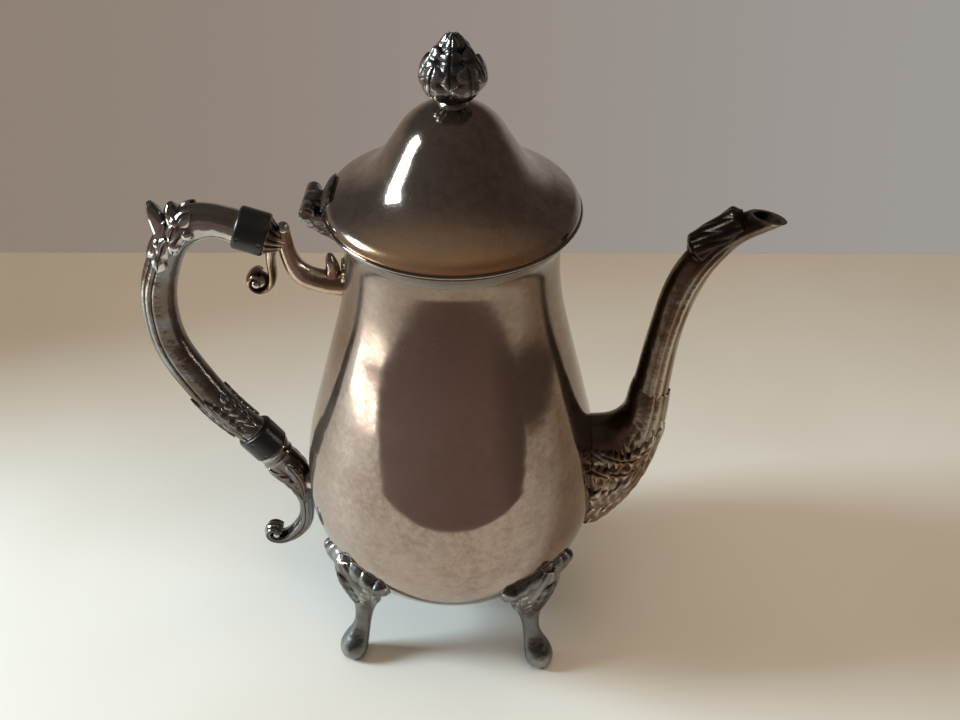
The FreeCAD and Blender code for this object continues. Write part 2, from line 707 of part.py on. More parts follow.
def spout_stations(shape):
    return [(on_spout(*one), on_spout(*other), STATION * half_width) for one, other, half_width in shape]


def spout():
    sheath = spout_stations(SHEATH)
    tube = spout_stations(TUBE)
    collar = spout_stations(LEAF_COLLAR)
    outer = horn(sheath).fuse([horn(tube, count=FLUTE_COUNT, depth=FLUTE_DEPTH), horn(collar)])
    hollow = outer.cut(horn(inset(sheath, SPOUT_WALL))).cut(horn(inset(tube, SPOUT_WALL)))
    above = Part.makeBox(FAR, FAR, FAR, FreeCAD.Vector(0, -FAR / 2, 0))
    above.rotate(ORIGIN, Y, SPOUT_MOUTH_ANGLE)
    above.translate(at(*on_spout(*SPOUT_MOUTH)))
    return hollow.cut(above).cut(SOLDER_FACE)


def half_of(solid, side):
    """The part of a solid on one side of the centre plane."""
    keep = Part.makeBox(2 * FAR, FAR, 2 * FAR, FreeCAD.Vector(-FAR, min(0.0, side * FAR), -FAR))
    return solid.common(keep)


# Feet: heights are shares of the knee's height, distances are steps from the toe

def shield_outline(top):
    """Leaf knee seen from outside: wing tips, scalloped top and a waist that runs into the shaft."""
    right = [(0.0, 1.0), (0.26, 0.93), (0.5, 0.955), (0.68, 0.885), (1.0, 0.86),
             (0.9, 0.75), (0.62, 0.63), (0.4, 0.52)]
    left = [(-side, share) for side, share in reversed(right[1:])]
    points = [FreeCAD.Vector(0, side * SHIELD_HALF_WIDTH, share * top) for side, share in right + left]
    return Part.Face(Part.makePolygon(points + points[:1]))


def foot(azimuth):
    top = BASE_Z + KNEE_RISE
    leg = [
        (0.0, 3.0, -3.0, 3.0),
        (0.029, 5.0, -5.2, 5.0),
        (0.086, 6.0, -6.2, 6.4),
        (0.143, 4.4, -6.8, 6.2),
        (0.200, 1.2, -8.0, 5.0),
        (0.264, -1.6, -9.2, 3.9),
        (0.357, -3.2, -10.6, 4.1),
        (0.457, -3.2, -12.0, 6.0),
        (0.571, -1.2, -13.0, 9.5),
        (0.657, 0.8, -12.0, 11.2),
        (0.743, 2.6, -10.0, 11.4),
        (0.829, 3.8, -7.4, 9.0),
        (0.914, 4.5, -4.0, 5.5),
        (0.964, 4.4, -2.0, 3.0),
    ]
    stations = []
    for share, outer, inner, half_width in leg:
        ends = [(TOE_RADIUS + STATION * out, share * top) for out in (outer, inner)]
        stations.append((ends[0], ends[1], STATION * half_width))
    shell = body_solid(SHIELD_THICKNESS).cut(SOLDER_FACE)
    shield = shield_outline(top).extrude(X * FAR).common(shell)
    solid = horn(stations).cut(SOLDER_FACE).fuse(shield)
    solid.rotate(ORIGIN, Z, azimuth)
    return solid


def single(shape):
    """The one solid of a piece."""
    solids = shape.Solids
    if len(solids) != 1:
        raise ValueError("a piece came out as %d solids" % len(solids))
    return solids[0]


def main():
    whole_spout = spout()
    pieces = {
        "body_shell": body_shell(),
        "base_disc": base_disc(),
        "mouth_ring": mouth_ring(),
        "spout_half_front": half_of(whole_spout, -1),
        "spout_half_rear": half_of(whole_spout, 1),
        "upper_handle_socket": upper_handle_socket(),
        "upper_insulator": UPPER.barrel(),
        "handle_grip": handle_grip(),
        "lower_insulator": LOWER.barrel(),
        "lower_handle_socket": lower_handle_socket(),
        "hinge_body_leaf": hinge_body_leaf(),
        "hinge_pin": hinge_pin(),
        "lid_shell": lid_shell(),
        "lid_rim_wire": lid_rim_wire(),
        "lid_bezel": lid_bezel(),
        "hinge_lid_leaf": hinge_lid_leaf(),
        "finial": finial(),
        "finial_washer": finial_washer(),
        "finial_nut": finial_nut(),
    }
    places = {"front_left": 180 + FOOT_SPREAD, "front_right": -FOOT_SPREAD,
              "rear_right": FOOT_SPREAD, "rear_left": 180 - FOOT_SPREAD}
    for place, azimuth in places.items():
        pieces["foot_" + place] = foot(azimuth)
    os.makedirs("parts", exist_ok=True)
    for name, shape in pieces.items():
        solid = single(shape)
        print(name, "valid" if solid.isValid() else "INVALID", round(solid.Volume, 1))
        solid.exportStep("parts/%s.step" % name)
    pin_sets = {"upper_insulator_pins": UPPER.pins(), "lower_insulator_pins": LOWER.pins()}
    for name, pins in pin_sets.items():
        Part.makeCompound(pins).exportStep("parts/%s.step" % name)


main()
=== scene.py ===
import functools
import math

import bmesh
import bpy
import numpy as np
from mathutils import Matrix, Vector


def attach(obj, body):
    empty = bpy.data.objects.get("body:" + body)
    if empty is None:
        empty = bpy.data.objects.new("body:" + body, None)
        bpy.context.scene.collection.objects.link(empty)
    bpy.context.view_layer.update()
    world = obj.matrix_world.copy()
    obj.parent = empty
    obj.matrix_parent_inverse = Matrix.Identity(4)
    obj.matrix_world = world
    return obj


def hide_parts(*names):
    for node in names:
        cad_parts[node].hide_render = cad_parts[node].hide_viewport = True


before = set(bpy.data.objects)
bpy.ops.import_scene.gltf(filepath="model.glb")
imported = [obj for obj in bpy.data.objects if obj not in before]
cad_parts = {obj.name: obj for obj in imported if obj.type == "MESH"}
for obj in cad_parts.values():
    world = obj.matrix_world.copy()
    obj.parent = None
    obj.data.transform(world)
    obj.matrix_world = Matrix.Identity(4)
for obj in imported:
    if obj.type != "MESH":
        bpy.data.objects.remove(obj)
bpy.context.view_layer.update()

# Coffee pot of plated metal. Shapes are worked in millimetres and scaled to metres when a piece is
# finished. The pot's axis is Z, the table is z = 0, the handle points to -X and the spout to +X.

MM = 0.001
TURN = 2 * math.pi

# Body
BASE_Z = 29.7
BASE_RADIUS = 28.0
BELLY_Z = 80.0
BELLY_RADIUS = 62.3
BELLY_ARC = 133.0
NECK_ARC = 141.0
NECK_Z = 197.0
NECK_RADIUS = 40.9
MOUTH_Z = 210.0
MOUTH_RADIUS = 46.2
WALL = 1.0
POUR_HOLE_Z = 84.0
POUR_HOLE_RADIUS = 10.0
SOLDER_FILM = 0.05
DISC_THICKNESS = 1.4

# Mouth ring and lid
RING_TOP = 211.5
RING_RADIUS = 47.0
RIM_Z = 211.8
LID_TOP = 254.3
LID_RADIUS = 47.6
WIRE_RADIUS = 0.8
MOUTH_INSET = 1.1
BEZEL_BOTTOM = 207.3
BEZEL_WALL = 0.8
BEZEL_GAP = 0.6
STUD_RADIUS = 2.05

# Finial
STEM_TOP = 258.3
BUD_RADIUS = 11.2
BUD_HEIGHT = 21.2

# Feet
TOE_RADIUS = 59.0
KNEE_TOP = 66.7
FOOT_AZIMUTHS = {"front_left": 225, "front_right": -45, "rear_right": 45, "rear_left": 135}

# Chased leaves: columns of a sheet, thickness of its back, how far its edges sink and its lobes sweep
# towards the tip, and as shares of its rise the furrows between lobes and the groove of the middle vein
LEAF_COLUMNS = 16
LEAF_BACK = 0.7
LEAF_SINK = 0.5
LEAF_SWEEP = 0.1
LEAF_FURROW = 0.42
LEAF_VEIN = 0.34
LEAF_VEIN_WIDTH = 0.09

# Rounds of smoothing after which a casting counts as plain
SMOOTHING_ROUNDS = 14


# ---------------------------------------------------------------- curves

class Cubic:
    """Smooth curve through rows of numbers at given places, with free ends."""

    def __init__(self, places, rows):
        self.places = np.array(places, float)
        self.rows = np.array(rows, float)
        count = len(places)
        gaps = np.diff(self.places)
        system = np.eye(count)
        right = np.zeros_like(self.rows)
        for i in range(1, count - 1):
            system[i, i - 1:i + 2] = gaps[i - 1], 2 * (gaps[i - 1] + gaps[i]), gaps[i]
            right[i] = 6 * ((self.rows[i + 1] - self.rows[i]) / gaps[i]
                            - (self.rows[i] - self.rows[i - 1]) / gaps[i - 1])
        self.bends = np.linalg.solve(system, right)
        self.known = {}

    def __call__(self, place):
        if place not in self.known:
            i = int(np.clip(np.searchsorted(self.places, place) - 1, 0, len(self.places) - 2))
            gap = self.places[i + 1] - self.places[i]
            b = (place - self.places[i]) / gap
            a = 1 - b
            bend = ((a ** 3 - a) * self.bends[i] + (b ** 3 - b) * self.bends[i + 1]) * gap ** 2 / 6
            self.known[place] = (a * self.rows[i] + b * self.rows[i + 1] + bend).tolist()
        return self.known[place]


def smooth(low, high, value):
    """0 below low, 1 above high, and an easy slope between."""
    share = min(1.0, max(0.0, (value - low) / (high - low)))
    return share * share * (3 - 2 * share)


def arc(centre, radius, start, end, count):
    """Points of an outline along an arc, between angles in radians."""
    angles = [start + (end - start) * i / count for i in range(count + 1)]
    return [(centre[0] + radius * math.cos(a), centre[1] + radius * math.sin(a)) for a in angles]


def rounded(corners, radii, count=14):
    """Outline through corners, each inner corner rounded by its radius."""
    points = [corners[0]]
    for before, corner, after, radius in zip(corners, corners[1:], corners[2:], radii):
        here = Vector(corner)
        back = (Vector(before) - here).normalized()
        on = (Vector(after) - here).normalized()
        half = back.angle(on) / 2
        centre = here + (back + on).normalized() * (radius / math.sin(half))
        leave = here + back * (radius / math.tan(half)) - centre
        join = here + on * (radius / math.tan(half)) - centre
        start = math.atan2(leave.y, leave.x)
        sweep = (math.atan2(join.y, join.x) - start + math.pi) % TURN - math.pi
        points += arc(centre, radius, start, start + sweep, count)
    return points + [corners[-1]]


def walled(outline, wall):
    """Closed outline of a wall: the outline, and back along it at the wall's thickness on its right."""
    inner = []
    for i, point in enumerate(outline):
        before = Vector(outline[max(0, i - 1)])
        after = Vector(outline[min(len(outline) - 1, i + 1)])
        along = (after - before).normalized()
        inner.append((point[0] + along.y * wall, point[1] - along.x * wall))
    return outline + inner[::-1] + outline[:1]


def body_outline():
    """The spun shell from base to mouth: two belly arcs, a cone, the neck and the flared lip."""
    step = BELLY_RADIUS - BASE_RADIUS
    low = (step ** 2 + (BELLY_Z - BASE_Z) ** 2) / (2 * step)
    lip = MOUTH_RADIUS - NECK_RADIUS
    flare = (lip ** 2 + (MOUTH_Z - NECK_Z) ** 2) / (2 * lip)
    arcs = BELLY_ARC + NECK_ARC
    run = arcs - (BELLY_RADIUS - NECK_RADIUS)
    rise = NECK_Z - BELLY_Z
    slope = math.atan2(rise, run) - math.acos(arcs / math.hypot(run, rise))
    points = arc((BELLY_RADIUS - low, BELLY_Z), low, math.asin((BASE_Z - BELLY_Z) / low), 0, 34)
    points += arc((BELLY_RADIUS - BELLY_ARC, BELLY_Z), BELLY_ARC, 0, slope, 18)[1:]
    points += arc((NECK_RADIUS + NECK_ARC, NECK_Z), NECK_ARC, math.pi + slope, math.pi, 18)
    mouth = math.pi - math.asin((MOUTH_Z - NECK_Z) / flare)
    points += arc((NECK_RADIUS + flare, NECK_Z), flare, math.pi, mouth, 14)[1:]
    return points


BODY_OUTLINE = body_outline()
BODY_HEIGHTS = [z for r, z in BODY_OUTLINE]
BODY_RADII = [r for r, z in BODY_OUTLINE]


def body_radius(z):
    return float(np.interp(z, BODY_HEIGHTS, BODY_RADII))


LID_OUTLINE = rounded([(STUD_RADIUS, LID_TOP), (12.8, LID_TOP), (30.9, RIM_Z + 13.4),
                       (LID_RADIUS, RIM_Z + 4.6), (LID_RADIUS, RIM_Z)], [23.0, 30.0, 5.2])


# ---------------------------------------------------------------- shapes

def spun(outline, steps=160):
    """Turn an outline of (radius, height) points once round the pot's axis."""
    bm = bmesh.new()
    verts = [bm.verts.new((r, 0, z)) for r, z in outline]
    edges = [bm.edges.new(pair) for pair in zip(verts, verts[1:])]
    bmesh.ops.spin(bm, geom=verts + edges, cent=(0, 0, 0), axis=(0, 0, 1), angle=TURN, steps=steps,
                   use_merge=True)
    bmesh.ops.remove_doubles(bm, verts=bm.verts, dist=0.001)
    bmesh.ops.recalc_face_normals(bm, faces=bm.faces)
    return bm


class Skin:
    """Round skin over stations (edge point, opposite edge point, half width), points in the XZ plane.
    Places are millimetres along it; angle 0 is the first edge. Relief is a height over place and angle."""

    def __init__(self, stations, relief=None):
        rows = [[*one, *other, half] for one, other, half in stations]
        places = [0.0]
        for (a1, a2, a3, a4, _), (b1, b2, b3, b4, _) in zip(rows, rows[1:]):
            places.append(places[-1] + (math.hypot(b1 - a1, b2 - a2) + math.hypot(b3 - a3, b4 - a4)) / 2)
        self.curve = Cubic(places, rows)
        self.length = places[-1]
        self.relief = relief

    def girth(self, place):
        x1, z1, x2, z2, half = self.curve(place)
        return (math.hypot(x1 - x2, z1 - z2) / 2 + half) / 2

    def point(self, place, angle, lift=0.0):
        place = min(self.length, max(0.0, place))
        x1, z1, x2, z2, half = self.curve(place)
        ahead = math.cos(angle)
        arm = Vector(((x1 - x2) / 2 * ahead, half * math.sin(angle), (z1 - z2) / 2 * ahead))
        if self.relief:
            lift += self.relief(place, angle)
        return Vector(((x1 + x2) / 2, 0, (z1 + z2) / 2)) + arm + arm.normalized() * lift

    def chart(self, place, angle, heading=0.0):
        """Flat drawing board laid on the skin: across, along and height, in millimetres."""
        def lay(x, y, lift):
            on = y * math.cos(heading) - x * math.sin(heading)
            aside = x * math.cos(heading) + y * math.sin(heading)
            here = min(self.length, max(0.0, place + on))
            return self.point(here, angle + aside / self.girth(here), lift)
        return lay


def skinned(bm, skin, rows, sides, closed=True):
    """Add a skin to a mesh as a tube, with flat ends if closed."""
    grid = bmesh.ops.create_grid(bm, x_segments=rows, y_segments=sides, size=1.0)["verts"]
    for vert in grid:
        vert.co = skin.point(skin.length * (vert.co.x + 1) / 2, math.pi * (vert.co.y + 1))
    bmesh.ops.remove_doubles(bm, verts=grid, dist=0.0005)
    if closed:
        rims = [edge for edge in bm.edges if edge.is_boundary]
        bmesh.ops.holes_fill(bm, edges=rims, sides=0)


def body_chart(azimuth, height, heading=0.0):
    """Flat drawing board laid on the body: across, along and height, in millimetres."""
    def lay(x, y, lift):
        z = height + y * math.cos(heading) - x * math.sin(heading)
        turn = azimuth + (x * math.cos(heading) + y * math.sin(heading)) / body_radius(z)
        radius = body_radius(z) + lift
        return Vector((radius * math.cos(turn), radius * math.sin(turn), z))
    return lay


def thickened(bm, sheet, outwards, thickness):
    """Turn a sheet's faces outwards and give it a back."""
    faces = list({face for vert in sheet for face in vert.link_faces})
    bmesh.ops.recalc_face_normals(bm, faces=faces)
    bm.normal_update()
    if sum(face.normal.dot(outwards) for face in faces) < 0:
        bmesh.ops.reverse_faces(bm, faces=faces)
    bmesh.ops.solidify(bm, geom=faces, thickness=thickness)


def leaf(bm, lay, length, width, lobes, rise, curl, notch=0.3, root=0.15, blunt=0.7):
    """Veined, lobed leaf drawn flat and laid on a surface; its edges sink into what carries it."""
    rows = max(14, lobes * 7)
    sheet = bmesh.ops.create_grid(bm, x_segments=LEAF_COLUMNS, y_segments=rows, size=1.0)["verts"]
    for vert in sheet:
        v = vert.co.x
        s = (vert.co.y + 1) / 2
        edge = abs(v)
        lobe = abs(math.sin(math.pi * lobes * min(1.0, s + 0.02)))
        spread = math.sin(math.pi * (root + (1 - root) * s)) ** blunt if s < 1 else 0.02
        half = width * max(0.03, spread) * (1 - notch * (1 - lobe ** 0.6))
        lift = rise * (1 - edge ** 2.2) * (0.45 + 0.55 * spread)
        lift -= LEAF_FURROW * rise * (1 - lobe ** 0.7) * edge ** 0.6
        lift -= LEAF_VEIN * rise * math.exp(-(v / LEAF_VEIN_WIDTH) ** 2)
        lift += curl * s ** 3 - LEAF_SINK * edge ** 5 * (1 - s ** 4 * min(1.0, curl))
        vert.co = lay(v * half, length * (s + LEAF_SWEEP * edge ** 1.5 * (1 - s)), lift)
    thickened(bm, sheet, lay(0, length / 2, 1.0) - lay(0, length / 2, 0.0), LEAF_BACK)


def bead(bm, centre, radius, squash=(1, 1, 1)):
    """Small cast bead."""
    ball = bmesh.ops.create_icosphere(bm, subdivisions=2, radius=radius)["verts"]
    bmesh.ops.scale(bm, vec=squash, verts=ball)
    bmesh.ops.translate(bm, vec=centre, verts=ball)


def seat_on_body(bm):
    """Press whatever lies inside the body out to its surface."""
    for vert in bm.verts:
        radius = math.hypot(vert.co.x, vert.co.y)
        least = body_radius(vert.co.z) + SOLDER_FILM
        if BASE_Z <= vert.co.z <= MOUTH_Z and radius < least:
            vert.co.x *= least / radius
            vert.co.y *= least / radius


def note_hollows(bm, shade_and_tarnish=None):
    """Store on each vertex how deep it lies below the smoothed casting, in millimetres, plus the painted
    shade and tarnish that the casting adds.
    """
    soft = bm.copy()
    for _ in range(SMOOTHING_ROUNDS):
        bmesh.ops.smooth_vert(soft, verts=soft.verts, factor=0.5, use_axis_x=True, use_axis_y=True,
                              use_axis_z=True)
    bm.normal_update()
    layer = bm.verts.layers.float.new("hollow")
    for here, there in zip(bm.verts, soft.verts):
        here[layer] = (there.co - here.co).dot(here.normal) + (shade_and_tarnish(here.co) if shade_and_tarnish else 0.0)
    soft.free()


def note_inside(bm, middle):
    """Store 1 on each vertex of the inner wall and 0 on the outer one."""
    bm.normal_update()
    layer = bm.verts.layers.float.new("hollow")
    for vert in bm.verts:
        vert[layer] = 1.0 if vert.normal.dot(vert.co - Vector(middle)) < 0 else 0.0


def finished(bm, name, body, finish, nodes, crease=38):
    """Make the mesh an object in metres, with its finish and its body, and hide the solids that it stands
    for.
    """
    bmesh.ops.scale(bm, vec=(MM, MM, MM), verts=bm.verts)
    mesh = bpy.data.meshes.new(name)
    bm.to_mesh(mesh)
    bm.free()
    mesh.shade_smooth()
    mesh.set_sharp_from_angle(angle=math.radians(crease))
    mesh.materials.append(finish)
    piece = bpy.data.objects.new(name, mesh)
    bpy.context.scene.collection.objects.link(piece)
    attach(piece, body)
    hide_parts(*nodes)
    return piece


def cast(bm, name, body, finish, *nodes, shade_and_tarnish=None):
    """Finish a casting: normals outwards, hollows noted for the finish, with the painted shade and tarnish
    that the casting adds.
    """
    bmesh.ops.recalc_face_normals(bm, faces=bm.faces)
    note_hollows(bm, shade_and_tarnish)
    return finished(bm, name, body, finish, nodes)


def plated(bm, name, body, finish, node):
    """Finish a spun piece."""
    return finished(bm, name, body, finish, [node])


def smoothed_solid(node, bevel=0.0):
    """Copy of a CAD solid, merged, with its sharp edges eased if a bevel is given."""
    bm = bmesh.new()
    bm.from_mesh(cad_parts[node].data)
    bmesh.ops.scale(bm, vec=(1 / MM, 1 / MM, 1 / MM), verts=bm.verts)
    bmesh.ops.remove_doubles(bm, verts=bm.verts, dist=0.002)
    bmesh.ops.dissolve_limit(bm, angle_limit=math.radians(1), verts=bm.verts, edges=bm.edges)
    if bevel:
        sharp = [edge for edge in bm.edges if edge.is_manifold and edge.calc_face_angle() > math.radians(35)]
        bmesh.ops.bevel(bm, geom=sharp, offset=bevel, offset_type="OFFSET", affect="EDGES", segments=2,
                        profile=0.5, material=-1, clamp_overlap=True)
    return bm


# ---------------------------------------------------------------- finishes

class Value:
    """A number in a node tree; arithmetic on it adds Math nodes."""

    def __init__(self, nodes, socket):
        self.nodes = nodes
        self.socket = socket

    def math(self, operation, first, second):
        return self.nodes.node("Math", {"operation": operation}, {0: first, 1: second})

    def __add__(self, other):
        return self.math("ADD", self, other)

    def __sub__(self, other):
        return self.math("SUBTRACT", self, other)

    def __rsub__(self, other):
        return self.math("SUBTRACT", other, self)

    def __mul__(self, other):
        return self.math("MULTIPLY", self, other)

    __radd__ = __add__

    def between(self, low, high):
        """0 below low, 1 above high, eased between."""
        return self.nodes.node("MapRange", {"interpolation_type": "SMOOTHSTEP"}, {0: self, 1: low, 2: high})


class Nodes:
    """A node tree and the way that nodes are added to it."""

    def __init__(self, tree):
        self.tree = tree

    def node(self, kind, settings=None, sockets=None, output=0):
        made = self.tree.nodes.new("ShaderNode" + kind)
        for key, value in (settings or {}).items():
            setattr(made, key, value)
        for key, value in (sockets or {}).items():
            self.feed(made.inputs[key], value)
        return Value(self, made.outputs[output]) if len(made.outputs) else None

    def feed(self, socket, value):
        if isinstance(value, Value):
            self.tree.links.new(value.socket, socket)
        else:
            socket.default_value = value

    def mix(self, share, first, second):
        return self.node("Mix", {"data_type": "RGBA"}, {0: share, 6: first, 7: second}, output=2)

    def along(self, place, axis):
        """One coordinate of a place."""
        return self.node("SeparateXYZ", None, {0: place}, axis)


class Finish(Nodes):
    """One material and the nodes that make it."""

    def __init__(self, name, **constants):
        self.material = bpy.data.materials.new(name)
        self.material.use_nodes = True
        super().__init__(self.material.node_tree)
        self.shader = self.tree.nodes["Principled BSDF"]
        for socket, value in constants.items():
            self.shader.inputs[socket.replace("_", " ")].default_value = value
        self.place = self.node("TexCoord", output="Object")

    def noise(self, scale, detail, roughness=0.55, stretch=None):
        """Cloudy pattern; scale is in blotches per metre."""
        place = self.place
        if stretch:
            place = self.node("Mapping", None, {"Vector": place, "Scale": stretch})
        return self.node("TexNoise", None, {"Vector": place, "Scale": scale, "Detail": detail,
                                            "Roughness": roughness})

    def attribute(self, name):
        return self.node("Attribute", {"attribute_name": name}, output="Fac")

    def bump(self, height, strength, distance):
        return self.node("Bump", None, {"Height": height, "Strength": strength, "Distance": distance})

    def wear(self, **links):
        for socket, value in links.items():
            self.feed(self.shader.inputs[socket.replace("_", " ")], value)
        return self.material


# Colours of the wear and of the painted shade and painted reflection, and where the painted shade and the
# painted amber reflection end on the X and Y axes, in metres
FILM_BROWN = (0.25, 0.18, 0.135, 1)
PAINTED_SHADE_BROWN = (0.15, 0.105, 0.078, 1)
PAINTED_SHADE_SPAN = (0.022, 0.062)
PAINTED_REFLECTION_AMBER = (0.46, 0.25, 0.12, 1)
PAINTED_REFLECTION_SPAN = (-0.046, -0.02)
SPECK_BROWN = (0.16, 0.13, 0.11, 1)
INSIDE_GREY = (0.33, 0.30, 0.27, 1)
HOLLOW_AND_SHADE_BROWN = (0.052, 0.038, 0.029, 1)


def spun_plate(name, silver, tarnish, tarnish_share, painted_reflection_heights=None, haze=None):
    """Spun and burnished plate: clouded tarnish, fine turning lines, specks and a soft waviness.
    The painted reflection heights are the pair between which a painted amber reflection on the front fades
    out upwards. Haze is the pair between which a dull brown film thickens upwards; painted shade and a
    painted dark reflection then darken the spout's side too."""
    finish = Finish(name)
    cloud = finish.noise(16, 4)
    blotch = finish.noise(70, 5, 0.65)
    fine = finish.noise(330, 5, 0.7)
    specks = finish.noise(1500, 2).between(0.66, 0.74)
    lines = finish.noise(6, 2, 0.6, (1, 1, 260))
    inside = finish.attribute("hollow")
    clear = 0.54 - tarnish_share * 0.3
    full = 0.8 - tarnish_share * 0.3
    dull = (cloud * 0.4 + blotch * 0.25 + fine * 0.35).between(clear, full)
    rough = 0.06 + dull * 0.07 + (lines - 0.5) * 0.04 + specks * 0.15 + inside * 0.25
    colour = finish.mix(dull, silver, tarnish)
    metal = 1.0
    if haze:
        metal = 0.96 - dull * 0.2
        film = finish.along(finish.place, "Z").between(*haze) * (0.45 + blotch * 0.7)
        # Painted shade and painted dark reflection: the body's spout side, away from the window, is coloured
        # darker brown
        painted_shade = finish.along(finish.place, "X").between(*PAINTED_SHADE_SPAN) * (0.42 + blotch * 0.65)
        colour = finish.mix(film, colour, FILM_BROWN)
        colour = finish.mix(painted_shade, colour, PAINTED_SHADE_BROWN)
        rough = rough + film * 0.14
    if painted_reflection_heights:
        # Painted reflection: warm amber on the lid's lower front, the side towards the camera
        low = 1 - finish.along(finish.place, "Z").between(*painted_reflection_heights)
        front = 1 - finish.along(finish.place, "Y").between(*PAINTED_REFLECTION_SPAN)
        painted_reflection = low * front * cloud.between(0.2, 0.55)
        colour = finish.mix(painted_reflection * 0.85, colour, PAINTED_REFLECTION_AMBER)
        rough = rough + painted_reflection * 0.12
        metal = 0.96 - painted_reflection * 0.2
    colour = finish.mix(specks * 0.35, colour, SPECK_BROWN)
    colour = finish.mix(inside, colour, INSIDE_GREY)
    wave = finish.noise(55, 2) * 0.7 + lines * 0.02
    return finish.wear(Base_Color=colour, Roughness=rough, Metallic=metal,
                       Normal=finish.bump(wave, 0.06, 0.002))


def cast_plate(name, silver, brown, brown_share, bright=(0.66, 0.63, 0.59, 1), matt=0.22, dented=0.2):
    """Cast and chased plate: clouded, dark brown in the hollows and where painted shade is added to their
    depth, rubbed bright on the ridges.
    """
    finish = Finish(name, Metallic=1.0)
    hollow = finish.attribute("hollow")
    cloud = finish.noise(60, 4)
    grain = finish.noise(420, 4, 0.6)
    dents = finish.noise(190, 2)
    # The depth also holds the painted shade that some castings add, which is coloured dark brown like the
    # patina in the hollows
    depth = hollow + (cloud - 0.5) * 0.22 + (grain - 0.5) * 0.07
    rubbed = 1 - depth.between(-0.42, -0.08)
    deep = depth.between(0.0, 0.3)
    browned = cloud.between(0.62 - brown_share * 0.3, 0.8 - brown_share * 0.3)
    colour = finish.mix(browned, silver, brown)
    colour = finish.mix(rubbed * 0.85, colour, bright)
    colour = finish.mix(deep, colour, HOLLOW_AND_SHADE_BROWN)
    rough = matt + deep * 0.1 - rubbed * 0.06 + (grain - 0.5) * 0.14
    return finish.wear(Base_Color=colour, Roughness=rough,
                       Normal=finish.bump(dents + grain * 0.2, dented, 0.0016))


def insulator_black(name):
    """Black fibre, faintly mottled, worn a little grey."""
    finish = Finish(name, IOR=1.5)
    grain = finish.noise(900, 4)
    rub = finish.noise(110, 4).between(0.5, 0.75)
    colour = finish.mix(rub, (0.010, 0.009, 0.009, 1), (0.032, 0.029, 0.027, 1))
    return finish.wear(Base_Color=colour, Roughness=0.34 + rub * 0.16 + (grain - 0.5) * 0.15,
                       Normal=finish.bump(grain, 0.15, 0.0002))


def fastener_brass(name, brass, dull):
    """Turned brass, gone dull."""
    finish = Finish(name, Metallic=1.0)
    cloud = finish.noise(300, 4)
    colour = finish.mix(cloud.between(0.4, 0.65), brass, dull)
    return finish.wear(Base_Color=colour, Roughness=0.3 + cloud * 0.2)


def painted_table(name):
    """Pale painted table top."""
    finish = Finish(name)
    cloud = finish.noise(3, 3)
    grain = finish.noise(700, 3)
    colour = finish.mix(cloud.between(0.35, 0.7), (0.80, 0.79, 0.75, 1), (0.72, 0.69, 0.63, 1))
    return finish.wear(Base_Color=colour, Roughness=0.5 + grain * 0.15,
                       Normal=finish.bump(grain, 0.05, 0.0003))


BODY_PLATE = spun_plate("body_plate", (0.45, 0.355, 0.30, 1), (0.29, 0.205, 0.16, 1), 0.5,
                        haze=(0.135, 0.205))
LID_PLATE = spun_plate("lid_plate", (0.48, 0.42, 0.37, 1), (0.31, 0.235, 0.185, 1), 0.55,
                       painted_reflection_heights=(0.218, 0.24))
RIM_PLATE = spun_plate("rim_plate", (0.42, 0.39, 0.355, 1), (0.31, 0.26, 0.215, 1), 0.5)
GREY_CAST = cast_plate("grey_cast", (0.215, 0.208, 0.196, 1), (0.155, 0.122, 0.096, 1), 0.6)
FOOT_CAST = cast_plate("foot_cast", (0.185, 0.182, 0.174, 1), (0.125, 0.112, 0.098, 1), 0.5,
                       (0.52, 0.50, 0.47, 1), 0.36, 0.4)
BROWN_CAST = cast_plate("brown_cast", (0.24, 0.19, 0.148, 1), (0.175, 0.105, 0.064, 1), 0.7,
                        (0.54, 0.46, 0.38, 1))
DARK_CAST = cast_plate("dark_cast", (0.12, 0.115, 0.107, 1), (0.07, 0.056, 0.045, 1), 0.4,
                       (0.36, 0.34, 0.32, 1), 0.3, 0.7)
GOLDEN_CAST = cast_plate("golden_cast", (0.68, 0.565, 0.44, 1), (0.55, 0.385, 0.245, 1), 0.6)
BLACK = insulator_black("insulator_black")
BRASS = fastener_brass("fastener_brass", (0.55, 0.39, 0.18, 1), (0.28, 0.18, 0.09, 1))
PIN_BRASS = fastener_brass("pin_brass", (0.17, 0.135, 0.10, 1), (0.08, 0.06, 0.045, 1))


# ---------------------------------------------------------------- body and lid

def in_pour_hole(face):
    middle = face.calc_center_median()
    return middle.x > 0 and math.hypot(middle.y, middle.z - POUR_HOLE_Z) < POUR_HOLE_RADIUS


def body_shell():
    bm = spun(walled(BODY_OUTLINE, -WALL))
    cut = [face for face in bm.faces if in_pour_hole(face)]
    bmesh.ops.delete(bm, geom=cut, context="FACES")
    rim = [edge for edge in bm.edges if edge.is_boundary]
    for vert in {vert for edge in rim for vert in edge.verts}:
        out = Vector((0, vert.co.y, vert.co.z - POUR_HOLE_Z))
        out *= POUR_HOLE_RADIUS / out.length
        vert.co.y = out.y
        vert.co.z = POUR_HOLE_Z + out.z
    bmesh.ops.bridge_loops(bm, edges=rim)
    bmesh.ops.recalc_face_normals(bm, faces=bm.faces)
    note_inside(bm, (0, 0, 110))
    return plated(bm, "body", "pot", BODY_PLATE, "body_shell")


def base_disc():
    under = BASE_Z - DISC_THICKNESS
    corners = [(0.01, BASE_Z), (BASE_RADIUS, BASE_Z), (BASE_RADIUS, under), (0.01, under)]
    bm = spun(rounded(corners, [0.12, 0.7], 5), 96)
    note_inside(bm, (0, 0, BASE_Z - DISC_THICKNESS / 2))
    return plated(bm, "base", "pot", BODY_PLATE, "base_disc")


